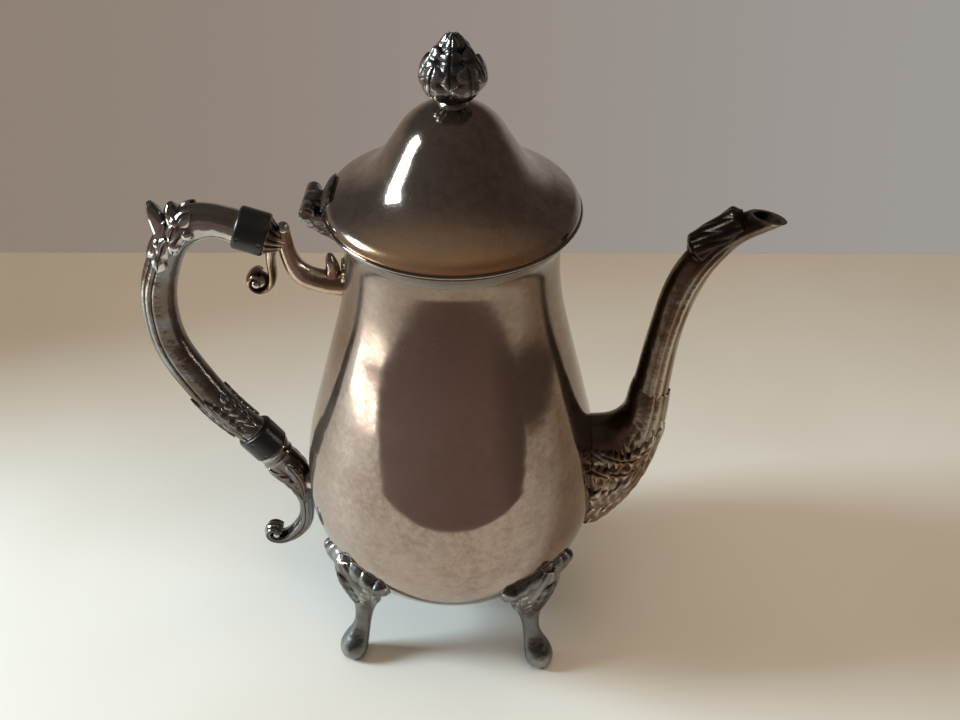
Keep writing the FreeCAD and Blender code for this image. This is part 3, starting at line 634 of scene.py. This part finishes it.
def mouth_ring():
    opening = body_radius(BEZEL_BOTTOM) - MOUTH_INSET
    corners = [(opening, MOUTH_Z), (RING_RADIUS, MOUTH_Z), (RING_RADIUS, RING_TOP), (opening, RING_TOP)]
    outline = rounded(corners, [0.6, 0.6], 5)
    bm = spun(outline + outline[:1])
    note_inside(bm, (0, 0, MOUTH_Z + 0.7))
    return plated(bm, "mouth_wire", "pot", BODY_PLATE, "mouth_ring")


def lid_shell():
    bm = spun(walled(LID_OUTLINE, WALL))
    note_inside(bm, (0, 0, RIM_Z))
    return plated(bm, "lid", "lid", LID_PLATE, "lid_shell")


def lid_rim_wire():
    outline = arc((LID_RADIUS, RIM_Z + WIRE_RADIUS + SOLDER_FILM), WIRE_RADIUS, 0, TURN, 14)
    return plated(spun(outline), "lid_wire", "lid", RIM_PLATE, "lid_rim_wire")


def lid_bezel():
    skirt = body_radius(BEZEL_BOTTOM) - MOUTH_INSET - BEZEL_GAP
    inner = skirt - BEZEL_WALL
    edge = LID_RADIUS - WALL
    corners = [(inner, BEZEL_BOTTOM), (skirt, BEZEL_BOTTOM), (skirt, RIM_Z), (edge, RIM_Z),
               (edge, RIM_Z + BEZEL_WALL), (inner, RIM_Z + BEZEL_WALL)]
    outline = rounded(corners, [0.25, 0.15, 0.1, 0.1], 3)
    return plated(spun(outline + outline[:1]), "bezel", "lid", LID_PLATE, "lid_bezel")


# ---------------------------------------------------------------- finial

# Swell and rise of the bud, as shares of its radius and height
BUD_SHAPE = [
    (0.32, -0.07), (0.72, 0.02), (0.95, 0.17), (0.96, 0.32), (0.82, 0.48), (0.62, 0.62), (0.43, 0.76),
    (0.25, 0.90), (0.07, 1.0),
]


def bud_curve():
    points = [(swell * BUD_RADIUS, STEM_TOP + rise * BUD_HEIGHT) for swell, rise in BUD_SHAPE]
    places = [0.0]
    for (r0, z0), (r1, z1) in zip(points, points[1:]):
        places.append(places[-1] + math.hypot(r1 - r0, z1 - z0))
    return Cubic(places, points), places[-1]


BUD, BUD_LENGTH = bud_curve()

# Rings of leaves: how many, shift in steps, turn, start along the bud, length, half width and form
BUD_RINGS = [
    (5, 0, 0.3, 0.4, BUD_LENGTH * 0.6, 7.4, dict(lobes=3, rise=1.4, curl=1.1, root=0.26, blunt=0.36)),
    (5, 0.5, 0.3, BUD_LENGTH * 0.36, BUD_LENGTH * 0.44, 5.6, dict(lobes=3, rise=1.3, curl=1.2, blunt=0.4)),
    (3, 0, 0.5, BUD_LENGTH * 0.58, BUD_LENGTH * 0.42, 3.4,
     dict(lobes=2, rise=1.0, curl=0.2, notch=0.2, blunt=0.5)),
]


def bud_chart(azimuth, start):
    """Flat drawing board laid on the bud, rising from a place along its outline."""
    def lay(x, y, lift):
        here = min(BUD_LENGTH, max(0.0, start + y))
        r, z = BUD(here)
        r1, z1 = BUD(min(BUD_LENGTH, here + 0.1))
        r0, z0 = BUD(max(0.0, here - 0.1))
        along = Vector((r1 - r0, z1 - z0)).normalized()
        spare = start + y - here
        r += along.y * lift + along.x * spare
        z += -along.x * lift + along.y * spare
        turn = azimuth + x / max(2.2, r)
        return Vector((r * math.cos(turn), r * math.sin(turn), z))
    return lay


def finial():
    core = [(r * 0.86, z) for r, z in (BUD(BUD_LENGTH * i / 30) for i in range(31))]
    stem = [(5.4, LID_TOP - 0.6), (5.2, LID_TOP + 0.6), (4.2, LID_TOP + 1.6), (3.5, LID_TOP + 2.8),
            (3.5, STEM_TOP - 0.8)]
    bm = spun([(0.01, LID_TOP - 0.6)] + stem + core[2:] + [(0.01, core[-1][1] + 0.1)], 56)
    for count, shift, turn, start, length, width, form in BUD_RINGS:
        for k in range(count):
            leaf(bm, bud_chart(TURN * (k + shift) / count + turn, start), length, width, **form)
    # Painted shade under the bud: the stem and the bud's foot are darkened
    return cast(bm, "bud", "lid", DARK_CAST, "finial",
                shade_and_tarnish=lambda place: 0.4 * smooth(260.5, 258.5, place.z))


# ---------------------------------------------------------------- handle

def reeds(angle, count, depth):
    """Rounded ridges with sharp grooves between them."""
    return depth * (abs(math.cos(count * angle / 2)) ** 0.7 - 0.55)


# Stations of the skins: edge point, opposite edge point, half width
GRIP_STATIONS = [
    ((-80.55, 206.14), (-84.41, 193.52), 6.6), ((-90.5, 208.6), (-90.8, 195.0), 6.2),
    ((-101.0, 208.0), (-98.6, 192.0), 6.3), ((-110.5, 200.5), (-103.2, 187.0), 6.4),
    ((-117.4, 187.2), (-106.6, 179.0), 6.4), ((-122.4, 173.5), (-109.2, 169.6), 6.4),
    ((-124.0, 158.4), (-110.2, 158.8), 6.4), ((-122.0, 140.6), (-108.4, 144.6), 6.4),
    ((-113.8, 121.4), (-101.2, 128.6), 6.4), ((-103.2, 104.8), (-91.6, 112.8), 6.4),
    ((-91.83, 92.52), (-81.29, 100.46), 6.6),
]


def grip_relief(place, angle):
    """Reeds along the outer edge; the inner face is smooth."""
    run = smooth(22, 40, place) * smooth(150, 132, place)
    return (0.12 + 0.88 * run) * smooth(-0.15, 0.3, math.cos(angle)) * reeds(angle, 12, 0.9)


GRIP = Skin(GRIP_STATIONS, grip_relief)

CREST_TIPS = [
    [((-100.4, 200.0), (-108.8, 197.5), 5.2), ((-101.8, 204.4), (-109.0, 203.2), 4.6),
     ((-103.8, 207.4), (-108.6, 206.8), 3.4), ((-105.2, 208.9), (-107.4, 208.8), 1.6)],
    [((-106.4, 198.0), (-114.0, 192.0), 5.0), ((-109.0, 203.2), (-115.2, 200.4), 4.4),
     ((-111.4, 207.0), (-115.6, 205.8), 3.0), ((-113.2, 209.2), (-115.2, 208.9), 1.2)],
    [((-109.0, 201.0), (-106.6, 194.6), 3.4), ((-113.0, 199.0), (-111.0, 194.0), 2.6),
     ((-113.9, 194.8), (-113.2, 193.9), 0.8)],
]

# Knobs (place, angle), leaves of the bend (place, angle, heading, length, half width) and leaves that rise
# from the grip's lower end (angle, length, half width), each made on both sides
CORNER_KNOBS = [(18, 1.7), (21, 0.8), (25.5, 1.8), (31, 0.9)]
CORNER_LEAVES = [
    (15, 0.6, 0.5, 13, 4.6), (18, 1.4, 0.3, 12, 4.4), (25, 0.45, 0.1, 14, 4.6), (27, 1.25, 0.1, 14, 4.8),
]
END_LEAVES = [(0.5, 26, 4.2), (1.5, 24, 4.0), (2.5, 22, 3.8)]


def grip_tone(place):
    """Lighter along the top bar, darker towards the lower insulator."""
    return 0.12 * smooth(132, 116, place.z) - 0.3 * smooth(-101, -96, place.x) * smooth(188, 196, place.z)


def handle_grip():
    bm = bmesh.new()
    skinned(bm, GRIP, 150, 96)
    for tip in CREST_TIPS:
        skinned(bm, Skin(tip, lambda place, angle: reeds(angle, 6, 0.3)), 20, 24)
    for side in (-1, 1):
        for place, angle in CORNER_KNOBS:
            bead(bm, GRIP.point(place, side * angle, -1.0), 3.0)
        for place, angle, heading, length, width in CORNER_LEAVES:
            leaf(bm, GRIP.chart(place, side * angle, side * heading), length, width, lobes=2, rise=1.7,
                 curl=0.5, notch=0.36, blunt=0.4)
        for angle, length, width in END_LEAVES:
            leaf(bm, GRIP.chart(GRIP.length - 3, side * angle, math.pi), length, width, lobes=5, rise=1.0,
                 curl=0.5)
    return cast(bm, "grip", "pot", GREY_CAST, "handle_grip", shade_and_tarnish=grip_tone)


ARM_STATIONS = [
    ((-62.4, 199.6), (-66.2, 199.2), 2.4), ((-61.3, 193.0), (-66.6, 191.6), 3.6),
    ((-59.8, 187.4), (-65.2, 183.8), 4.2), ((-56.8, 183.2), (-62.2, 176.8), 4.6),
    ((-52.0, 180.8), (-55.4, 172.8), 5.0), ((-46.1, 180.1), (-46.1, 170.7), 5.3),
    ((-40.0, 180.1), (-40.0, 170.7), 5.3),
]
CUP_STATIONS = [
    ((-68.42, 203.06), (-72.63, 189.29), 7.2), ((-66.4, 199.6), (-69.6, 189.6), 5.4),
    ((-62.8, 196.4), (-66.2, 190.6), 3.6),
]
VOLUTE_STATIONS = [
    ((-66.8, 193.0), (-71.8, 191.4), 4.6), ((-68.6, 185.6), (-72.0, 185.2), 4.3),
    ((-68.7, 178.4), (-71.9, 178.2), 4.1), ((-70.3, 173.0), (-72.9, 174.8), 4.1),
    ((-73.9, 170.4), (-74.5, 173.2), 4.1), ((-78.2, 171.2), (-76.8, 173.4), 4.1),
    ((-80.6, 174.8), (-78.0, 175.2), 4.1), ((-79.8, 178.6), (-77.6, 177.0), 4.1),
    ((-76.6, 180.5), (-76.2, 178.0), 4.1), ((-74.2, 179.2), (-75.0, 177.4), 3.9),
]
CURL_STATIONS = [
    ((-43.6, 178.0), (-50.4, 178.0), 3.6), ((-43.8, 182.4), (-49.2, 182.6), 3.0),
    ((-44.8, 186.0), (-49.0, 186.6), 2.6), ((-46.0, 188.4), (-48.2, 188.8), 1.2),
]

# Leaves round the arm's root: azimuth from the handle's side, heading, length
ROOT_Z = 178
ROOT_LEAVES = [(0, 0, 9), (-0.09, 0.6, 8), (0.09, -0.6, 8), (-0.1, 2.4, 8), (0.1, -2.4, 8)]


def upper_handle_socket():
    bm = bmesh.new()
    skinned(bm, Skin(ARM_STATIONS, lambda place, angle: 0.5 * abs(math.cos(angle)) ** 8), 70, 48)
    skinned(bm, Skin(CUP_STATIONS, lambda place, angle: reeds(angle, 14, 0.5)), 24, 84)
    skinned(bm, Skin(VOLUTE_STATIONS, lambda place, angle: reeds(angle, 4, 0.35)), 90, 32)
    skinned(bm, Skin(CURL_STATIONS, lambda place, angle: reeds(angle, 6, 0.3)), 20, 30)
    bead(bm, (-64.3, 0, 199.8), 2.7)
    bead(bm, (-75.6, 0, 175.5), 4.3, (1, 0.85, 1))
    for side in (-1, 1):
        bead(bm, (-76.4, side * 3.6, 175.6), 1.9, (1, 0.6, 1))
    for aside, heading, length in ROOT_LEAVES:
        leaf(bm, body_chart(math.pi + aside, ROOT_Z, heading), length, 2.8, lobes=3, rise=1.4, curl=1.2)
    seat_on_body(bm)
    return cast(bm, "upper_socket", "pot", GOLDEN_CAST, "upper_handle_socket",
                shade_and_tarnish=lambda place: 0.32 * smooth(-64.6, -67.2, place.x))


TAIL_STATIONS = [
    ((-84.79, 82.18), (-73.29, 90.84), 7.2), ((-81.4, 74.4), (-69.3, 84.0), 6.6),
    ((-76.2, 68.6), (-64.6, 76.6), 6.0), ((-72.0, 62.0), (-62.4, 66.4), 5.4),
    ((-69.8, 55.2), (-62.8, 56.8), 4.9), ((-69.6, 48.6), (-63.6, 47.6), 4.6),
    ((-71.4, 42.6), (-65.4, 39.6), 4.4), ((-74.6, 37.6), (-69.9, 33.0), 4.2),
    ((-77.2, 34.4), (-75.6, 29.2), 4.1), ((-80.6, 32.4), (-81.2, 28.0), 4.0),
    ((-83.2, 33.0), (-86.6, 31.0), 4.0), ((-83.2, 34.8), (-86.4, 36.6), 4.0),
    ((-81.6, 35.4), (-82.2, 38.2), 4.0), ((-79.9, 34.6), (-78.6, 36.4), 3.8),
]

# Round pad between the tail and the body
PAD_Z = 69
PAD_RADIUS = 5.0
PAD_LENGTH = 14


def tail_relief(place, angle):
    """Two rings behind the insulator, then reeds."""
    collar = 0.5 * math.exp(-((place - 1.2) / 1.0) ** 2) + 0.4 * math.exp(-((place - 5.0) / 0.8) ** 2)
    return collar + smooth(4, 12, place) * reeds(angle, 6, 0.6)


def lower_handle_socket():
    bm = bmesh.new()
    tail = Skin(TAIL_STATIONS, tail_relief)
    skinned(bm, tail, 130, 56)
    pad = bmesh.ops.create_cone(bm, cap_ends=True, segments=40, radius1=PAD_RADIUS, radius2=PAD_RADIUS,
                                depth=PAD_LENGTH)["verts"]
    bmesh.ops.rotate(bm, cent=(0, 0, 0), matrix=Matrix.Rotation(math.pi / 2, 3, "Y"), verts=pad)
    bmesh.ops.translate(bm, vec=(-body_radius(PAD_Z) - 2, 0, PAD_Z), verts=pad)
    for side in (-1, 1):
        bead(bm, (-81.4, side * 3.4, 34.2), 1.6, (1, 0.6, 1))
        leaf(bm, tail.chart(6, side * 0.9, side * 0.15), 26, 4.2, lobes=5, rise=1.0, curl=0.6)
        leaf(bm, tail.chart(8, side * 2.1, side * -0.1), 22, 3.8, lobes=4, rise=1.0, curl=0.6)
    seat_on_body(bm)
    return cast(bm, "lower_socket", "pot", GREY_CAST, "lower_handle_socket", shade_and_tarnish=lambda place: 0.13)


def insulator(name, node):
    return finished(smoothed_solid(node), name, "pot", BLACK, [node], 30)


# ---------------------------------------------------------------- spout

SHEATH_STATIONS = [
    ((50, 110), (44, 50), 16.0), ((60, 111.2), (62, 53.5), 15.4), ((66.8, 113), (73.6, 65.2), 13.4),
    ((70.4, 116.6), (81.3, 78.6), 11.4), ((72.2, 121.6), (87, 98), 9.6), ((73, 128), (89.4, 113), 8.4),
    ((74.2, 133.2), (89.6, 128.4), 6.7),
]
TUBE_STATIONS = [
    ((72.8, 124), (87.6, 108), 7.8), ((74.8, 135.5), (89, 134), 6.6), ((76.6, 150), (89.8, 148.8), 6.2),
    ((78.6, 163.7), (91.5, 163), 5.9), ((81, 177.6), (94.2, 175.4), 5.7), ((85.2, 190.2), (97.4, 185), 5.6),
    ((93.7, 202.6), (103, 195.6), 5.4), ((99.8, 208.4), (107.3, 200.6), 5.2),
    ((106.4, 212.9), (112, 204.2), 5.0), ((113.6, 216), (118, 207.6), 4.8), ((120.4, 219), (124, 211), 4.4),
    ((127.2, 222), (130.2, 214.4), 4.0),
]
SPOUT_MIDDLES = [((x1 + x2) / 2, (z1 + z2) / 2)
                 for (x1, z1), (x2, z2), half in SHEATH_STATIONS + TUBE_STATIONS[1:]]
COLLAR_STATIONS = [
    ((87.4, 198.6), (96, 192), 5.9), ((91.2, 204.6), (98, 197.5), 6.1), ((97.2, 209.6), (103, 201.5), 5.9),
    ((102.6, 214.2), (107.5, 206), 5.5), ((106.4, 215.4), (109.5, 208.5), 5.0),
]

# Rows of leaves on the sheath: start, length, half width, angles
SHEATH_LEAVES = [
    (36, 26, 3.6, (math.pi, 2.6, 2.05, 1.5)), (27, 22, 4.0, (2.87, 2.33, 1.8, 1.3)),
    (18, 20, 4.6, (math.pi, 2.65, 2.2, 1.75, 1.3, 0.9)), (9, 18, 4.8, (2.9, 2.45, 2.0, 1.55, 1.1, 0.7)),
]
SPOUT_WALL = 1.2
SPOUT_LIP = (106.8, 0, 214.5)
SPOUT_LIP_SLOPE = math.radians(12.5)


def thinner(stations, wall):
    """The same stations, smaller by a wall all round."""
    inner = []
    for one, other, half in stations:
        step = (Vector(other) - Vector(one)).normalized() * wall
        inner.append((tuple(Vector(one) + step), tuple(Vector(other) - step), half - wall))
    return inner


def spout_flutes(angle):
    """Flutes on the outer side of the tube."""
    outer = smooth(-0.35, 0.3, -math.cos(angle))
    return outer * reeds(angle + math.pi, 12, 1.0)


def sheath_relief(place, angle):
    """Swirling foliage on the sheath's outer side, alike left and right, that runs out into the flutes."""
    aside = 12 * math.acos(math.cos(angle))
    up = 0.8 * place + 0.6 * aside
    across = 0.8 * aside - 0.6 * place
    swirl = math.sin(0.75 * up + 1.9 * math.sin(0.42 * across))
    swirl *= math.sin(1.15 * across + 1.7 * math.sin(0.3 * up))
    swirl *= smooth(58, 36, place) * smooth(0.7, 0.3, math.cos(angle))
    return 0.45 * swirl + spout_flutes(angle) * smooth(30, 60, place)


def collar_relief(length, place, angle):
    """Slanting leaf ribs that sink into the tube at both ends, with a knob on the inner side of each."""
    ends = smooth(0, 2.5, place) * smooth(length, length - 2.5, place)
    knobs = math.exp(-((place - 3) / 1.6) ** 2) + math.exp(-((place - length + 3) / 1.6) ** 2)
    ribs = 0.1 + 0.45 * abs(math.cos(4 * angle + place * 0.35)) ** 0.8
    return -1.0 + ends * (0.9 + ribs + 0.7 * knobs * max(0.0, math.cos(angle)) ** 2)


def spout_shade_and_tone(place):
    """Painted shade on the inner side, facing the body; darker round the collar, and lighter on the upper
    tube, where the outer ridges come out bright.
    """
    middle = float(np.interp(place.z, [z for x, z in SPOUT_MIDDLES], [x for x, z in SPOUT_MIDDLES]))
    upper = smooth(98, 112, place.z)
    inner = (0.1 + 0.2 * upper) * smooth(-0.3, 0.25, (middle - place.x) / 7)
    return inner - 0.12 * upper + 0.24 * smooth(191, 198, place.z)


def spout():
    bm = bmesh.new()
    tube = Skin(TUBE_STATIONS, lambda place, angle: spout_flutes(angle) * smooth(96, 84, place))
    bore = Skin(thinner(TUBE_STATIONS, SPOUT_WALL))
    skinned(bm, tube, 120, 84, closed=False)
    skinned(bm, bore, 60, 84, closed=False)
    up = Vector((math.sin(SPOUT_LIP_SLOPE), 0, math.cos(SPOUT_LIP_SLOPE)))
    everything = bm.verts[:] + bm.edges[:] + bm.faces[:]
    bmesh.ops.bisect_plane(bm, geom=everything, plane_co=SPOUT_LIP, plane_no=up, clear_outer=True)
    lip = [edge for edge in bm.edges if edge.is_boundary
           and all(abs((vert.co - Vector(SPOUT_LIP)).dot(up)) < 0.01 for vert in edge.verts)]
    bmesh.ops.bridge_loops(bm, edges=lip)
    roots = [edge for edge in bm.edges if edge.is_boundary]
    bmesh.ops.bridge_loops(bm, edges=roots)

    sheath = Skin(SHEATH_STATIONS, sheath_relief)
    skinned(bm, sheath, 130, 128)
    collar = Skin(COLLAR_STATIONS)
    collar.relief = functools.partial(collar_relief, collar.length)
    skinned(bm, collar, 50, 96, closed=False)
    ends = [edge for edge in bm.edges if edge.is_boundary]
    bmesh.ops.holes_fill(bm, edges=ends, sides=0)
    for start, length, width, angles in SHEATH_LEAVES:
        for angle in angles:
            for side in ((1,) if angle == math.pi else (1, -1)):
                lay = sheath.chart(start + 3 * math.cos(5 * angle), side * angle, side * 0.5)
                leaf(bm, lay, length, width, lobes=4, rise=1.3, curl=0.2, notch=0.36, blunt=0.6)
    seat_on_body(bm)
    return cast(bm, "spout", "pot", BROWN_CAST, "spout_half_front", "spout_half_rear", shade_and_tarnish=spout_shade_and_tone)


# ---------------------------------------------------------------- feet

# Stations of a leg: share of its height, outer and inner edge from the toe's radius, half width
LEG_STATIONS = [
    (0.0, 3.0, -3.0, 3.0), (0.029, 5.0, -5.2, 5.0), (0.086, 6.0, -6.2, 6.4), (0.143, 4.4, -6.8, 6.2),
    (0.200, 1.2, -8.0, 5.0), (0.264, -1.6, -9.2, 3.9), (0.357, -3.2, -10.6, 4.1), (0.457, -3.2, -12.0, 6.0),
    (0.571, -1.2, -13.0, 9.5), (0.657, 0.8, -12.0, 11.2), (0.743, 2.6, -10.0, 11.4), (0.829, 3.8, -7.4, 9.0),
    (0.914, 4.5, -4.0, 5.5), (0.964, 4.4, -2.0, 3.0),
]

# The knee's shield: distance from its middle, and its upper and lower edge there
SHIELD_ACROSS = [0.0, 5.2, 8.0, 10.0, 12.4, 13.6, 18.0, 20.0]
SHIELD_TOPS = [66.7, 64.4, 63.9, 63.7, 62.4, 61.4, 59.4, 57.8]
SHIELD_FEET = [34.7, 34.7, 34.7, 38.0, 42.0, 44.0, 50.0, 56.4]
SHIELD_RISE = 4.6
LOBE_ORIGIN_Z = 26.0
LOBE_ANGLE = 0.17
SCALLOP = 1.1


def shield_lobe(across, height):
    """Lobes that fan out from the shaft: 1 on a lobe's middle, 0 between two."""
    return abs(math.cos(math.pi * math.atan2(across, height - LOBE_ORIGIN_Z) / LOBE_ANGLE))


def knee_shield(bm):
    """Broad leaf shield soldered to the body, with a scalloped top."""
    lay = body_chart(0, 0)
    sheet = bmesh.ops.create_grid(bm, x_segments=96, y_segments=44, size=1.0)["verts"]
    for vert in sheet:
        across = SHIELD_ACROSS[-1] * vert.co.x
        share = (vert.co.y + 1) / 2
        low = float(np.interp(abs(across), SHIELD_ACROSS, SHIELD_FEET))
        high = float(np.interp(abs(across), SHIELD_ACROSS, SHIELD_TOPS))
        high -= SCALLOP * (1 - shield_lobe(across, high) ** 0.5)
        height = low + (high - low) * share
        crown = (1 - abs(2 * share - 1) ** 4) * (1 - abs(vert.co.x) ** 12)
        vein = shield_lobe(across, height) ** 0.6 - 0.6
        vert.co = lay(across, height, 0.15 + (SHIELD_RISE + 0.7 * vein) * crown)
    thickened(bm, sheet, Vector((1, 0, 0)), 0.8)


def foot(place, azimuth):
    stations = [((TOE_RADIUS + outer, share * KNEE_TOP), (TOE_RADIUS + inner, share * KNEE_TOP), half)
                for share, outer, inner, half in LEG_STATIONS]

    def relief(along, angle):
        shaft = 0.45 * max(0.0, math.cos(angle)) ** 6 * smooth(10, 16, along)
        return shaft + reeds(angle, 10, 0.5) * smooth(34, 44, along)

    leg = Skin(stations, relief)
    bm = bmesh.new()
    skinned(bm, leg, 90, 72)
    knee_shield(bm)
    leaf(bm, leg.chart(37, 0), 25, 5.6, lobes=4, rise=0.8, curl=0.2, blunt=0.5)
    for side in (-1, 1):
        leaf(bm, leg.chart(38, side * 0.8, side * 0.3), 20, 5.2, lobes=4, rise=0.8, curl=0.2, blunt=0.5)
        leaf(bm, leg.chart(40, side * 1.45, side * 0.5), 16, 4.8, lobes=3, rise=0.8, curl=0.2, blunt=0.5)
    seat_on_body(bm)
    turned = Matrix.Rotation(math.radians(azimuth), 3, "Z")
    bmesh.ops.rotate(bm, cent=(0, 0, 0), matrix=turned, verts=bm.verts)
    return cast(bm, "leg_" + place, "pot", FOOT_CAST, "foot_" + place)


# ---------------------------------------------------------------- stage

TABLE_SIZE = (0.96, 0.55, 0.03)
TABLE_MIDDLE = (-0.08, 0.02, -0.015)
TABLE_EDGE = 0.004
TABLE_PIVOT = (0, 0.295, 0)
TABLE_TURN = math.radians(3.9)
FLAG_SIZE = (0.01, 0.8, 1.2)
FLAG_MIDDLE = (-0.62, 0.455, 0.6)

ROOM_LEFT = (0.275, 0.22, 0.18, 1)
ROOM_RIGHT = (0.345, 0.33, 0.315, 1)
ROOM_FRONT = (0.185, 0.13, 0.117, 1)
ROOM_SPOUT_SIDE = (0.08, 0.058, 0.048, 1)
ROOM_TOP = (0.06, 0.048, 0.041, 1)

CAMERA_PLACE = (0.024848, -0.381504, 0.442829)
CAMERA_TURN = math.radians(2.045)
CAMERA_PITCH = math.radians(38.436)
CAMERA_ROLL = math.radians(-1.058)
CAMERA_SENSOR = 36.0
CAMERA_LENS = 44.775


def staged(bm, name, finish):
    """Make the mesh, in metres, an object with its finish."""
    mesh = bpy.data.meshes.new(name)
    bm.to_mesh(mesh)
    bm.free()
    mesh.materials.append(finish)
    piece = bpy.data.objects.new(name, mesh)
    bpy.context.scene.collection.objects.link(piece)
    return piece


def block(size, middle):
    bm = bmesh.new()
    bmesh.ops.create_cube(bm, size=1.0)
    bmesh.ops.scale(bm, vec=size, verts=bm.verts)
    bmesh.ops.translate(bm, vec=middle, verts=bm.verts)
    return bm


def table(paint):
    bm = block(TABLE_SIZE, TABLE_MIDDLE)
    bmesh.ops.bevel(bm, geom=bm.edges[:], offset=TABLE_EDGE, offset_type="OFFSET", affect="EDGES",
                    segments=4, profile=0.5, material=-1)
    bmesh.ops.rotate(bm, cent=TABLE_PIVOT, matrix=Matrix.Rotation(TABLE_TURN, 3, "Z"), verts=bm.verts)
    staged(bm, "table", paint)


def flag(paint):
    """Board beside the table that keeps the window light off its far left; only its shade shows."""
    board = staged(block(FLAG_SIZE, FLAG_MIDDLE), "flag", paint)
    board.visible_camera = False
    board.visible_glossy = False


def softbox(name, place, aim, size, power, colour):
    """Soft rectangular light that the camera doesn't see."""
    data = bpy.data.lights.new(name, "AREA")
    data.shape = "RECTANGLE"
    data.size = size[0]
    data.size_y = size[1]
    data.energy = power
    data.color = colour
    light = bpy.data.objects.new(name, data)
    light.location = place
    light.rotation_euler = (Vector(aim) - Vector(place)).to_track_quat("-Z", "Y").to_euler()
    light.visible_camera = False
    bpy.context.scene.collection.objects.link(light)
    return light


def room():
    """Plain room: taupe behind the pot, brown before it, dark above and on the spout's side."""
    world = bpy.data.worlds.new("room")
    world.use_nodes = True
    world.node_tree.nodes.clear()
    nodes = Nodes(world.node_tree)
    place = nodes.node("TexCoord", output="Generated")
    x, y, z = (nodes.along(place, axis) for axis in "XYZ")
    wall = nodes.mix(x.between(-0.45, 0.5), ROOM_LEFT, ROOM_RIGHT)
    colour = nodes.mix(y.between(-0.5, 0.3), ROOM_FRONT, wall)
    colour = nodes.mix(x.between(0.5, 0.9), colour, ROOM_SPOUT_SIDE)
    colour = nodes.mix(z.between(-0.1, 0.4), colour, ROOM_TOP)
    light = nodes.node("Background", None, {"Color": colour})
    nodes.node("OutputWorld", None, {"Surface": light})
    bpy.context.scene.world = world


def camera():
    """Camera at the photograph's viewing angle."""
    flat = math.cos(CAMERA_PITCH)
    ahead = Vector((-math.sin(CAMERA_TURN) * flat, math.cos(CAMERA_TURN) * flat, -math.sin(CAMERA_PITCH)))
    level = Vector((math.cos(CAMERA_TURN), math.sin(CAMERA_TURN), 0))
    down = ahead.cross(level)
    right = level * math.cos(CAMERA_ROLL) + down * math.sin(CAMERA_ROLL)
    low = down * math.cos(CAMERA_ROLL) - level * math.sin(CAMERA_ROLL)
    data = bpy.data.cameras.new("camera")
    data.sensor_width = CAMERA_SENSOR
    data.lens = CAMERA_LENS
    eye = bpy.data.objects.new("camera", data)
    matrix = Matrix((right, -low, -ahead)).transposed().to_4x4()
    matrix.translation = CAMERA_PLACE
    eye.matrix_world = matrix
    bpy.context.scene.collection.objects.link(eye)
    bpy.context.scene.camera = eye


FASTENERS = [
    ("hinge_pin", PIN_BRASS), ("upper_insulator_pins", PIN_BRASS), ("lower_insulator_pins", PIN_BRASS),
    ("finial_washer", BRASS), ("finial_nut", BRASS),
]


def main():
    body_shell()
    base_disc()
    mouth_ring()
    lid_shell()
    lid_rim_wire()
    lid_bezel()
    finial()
    for node, body in (("hinge_body_leaf", "pot"), ("hinge_lid_leaf", "lid")):
        cast(smoothed_solid(node, 0.3), node.replace("hinge_", "") + "_hinge", body, DARK_CAST, node)
    handle_grip()
    upper_handle_socket()
    lower_handle_socket()
    insulator("upper_barrel", "upper_insulator")
    insulator("lower_barrel", "lower_insulator")
    spout()
    for place, azimuth in FOOT_AZIMUTHS.items():
        foot(place, azimuth)
    for node, finish in FASTENERS:
        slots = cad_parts[node].data.materials
        slots.clear()
        slots.append(finish)
    paint = painted_table("table_paint")
    table(paint)
    flag(paint)
    softbox("window", place=(-1.76, -0.08, 1.0), aim=(0, 0, 0.13), size=(0.52, 0.75), power=58.0,
            colour=(0.74, 0.91, 1.0))
    softbox("card", place=(-0.45, -0.12, 0.004), aim=(-0.45, -0.12, 1.0), size=(0.11, 0.26), power=0.3,
            colour=(1.0, 0.97, 0.9))
    fill = softbox("fill", place=(0.2, -0.25, 1.6), aim=(0, 0, 0), size=(1.5, 1.5), power=15.5,
                   colour=(1.0, 0.81, 0.6))
    fill.visible_glossy = False
    room()
    camera()
    bpy.context.scene.view_settings.view_transform = "Standard"


main()
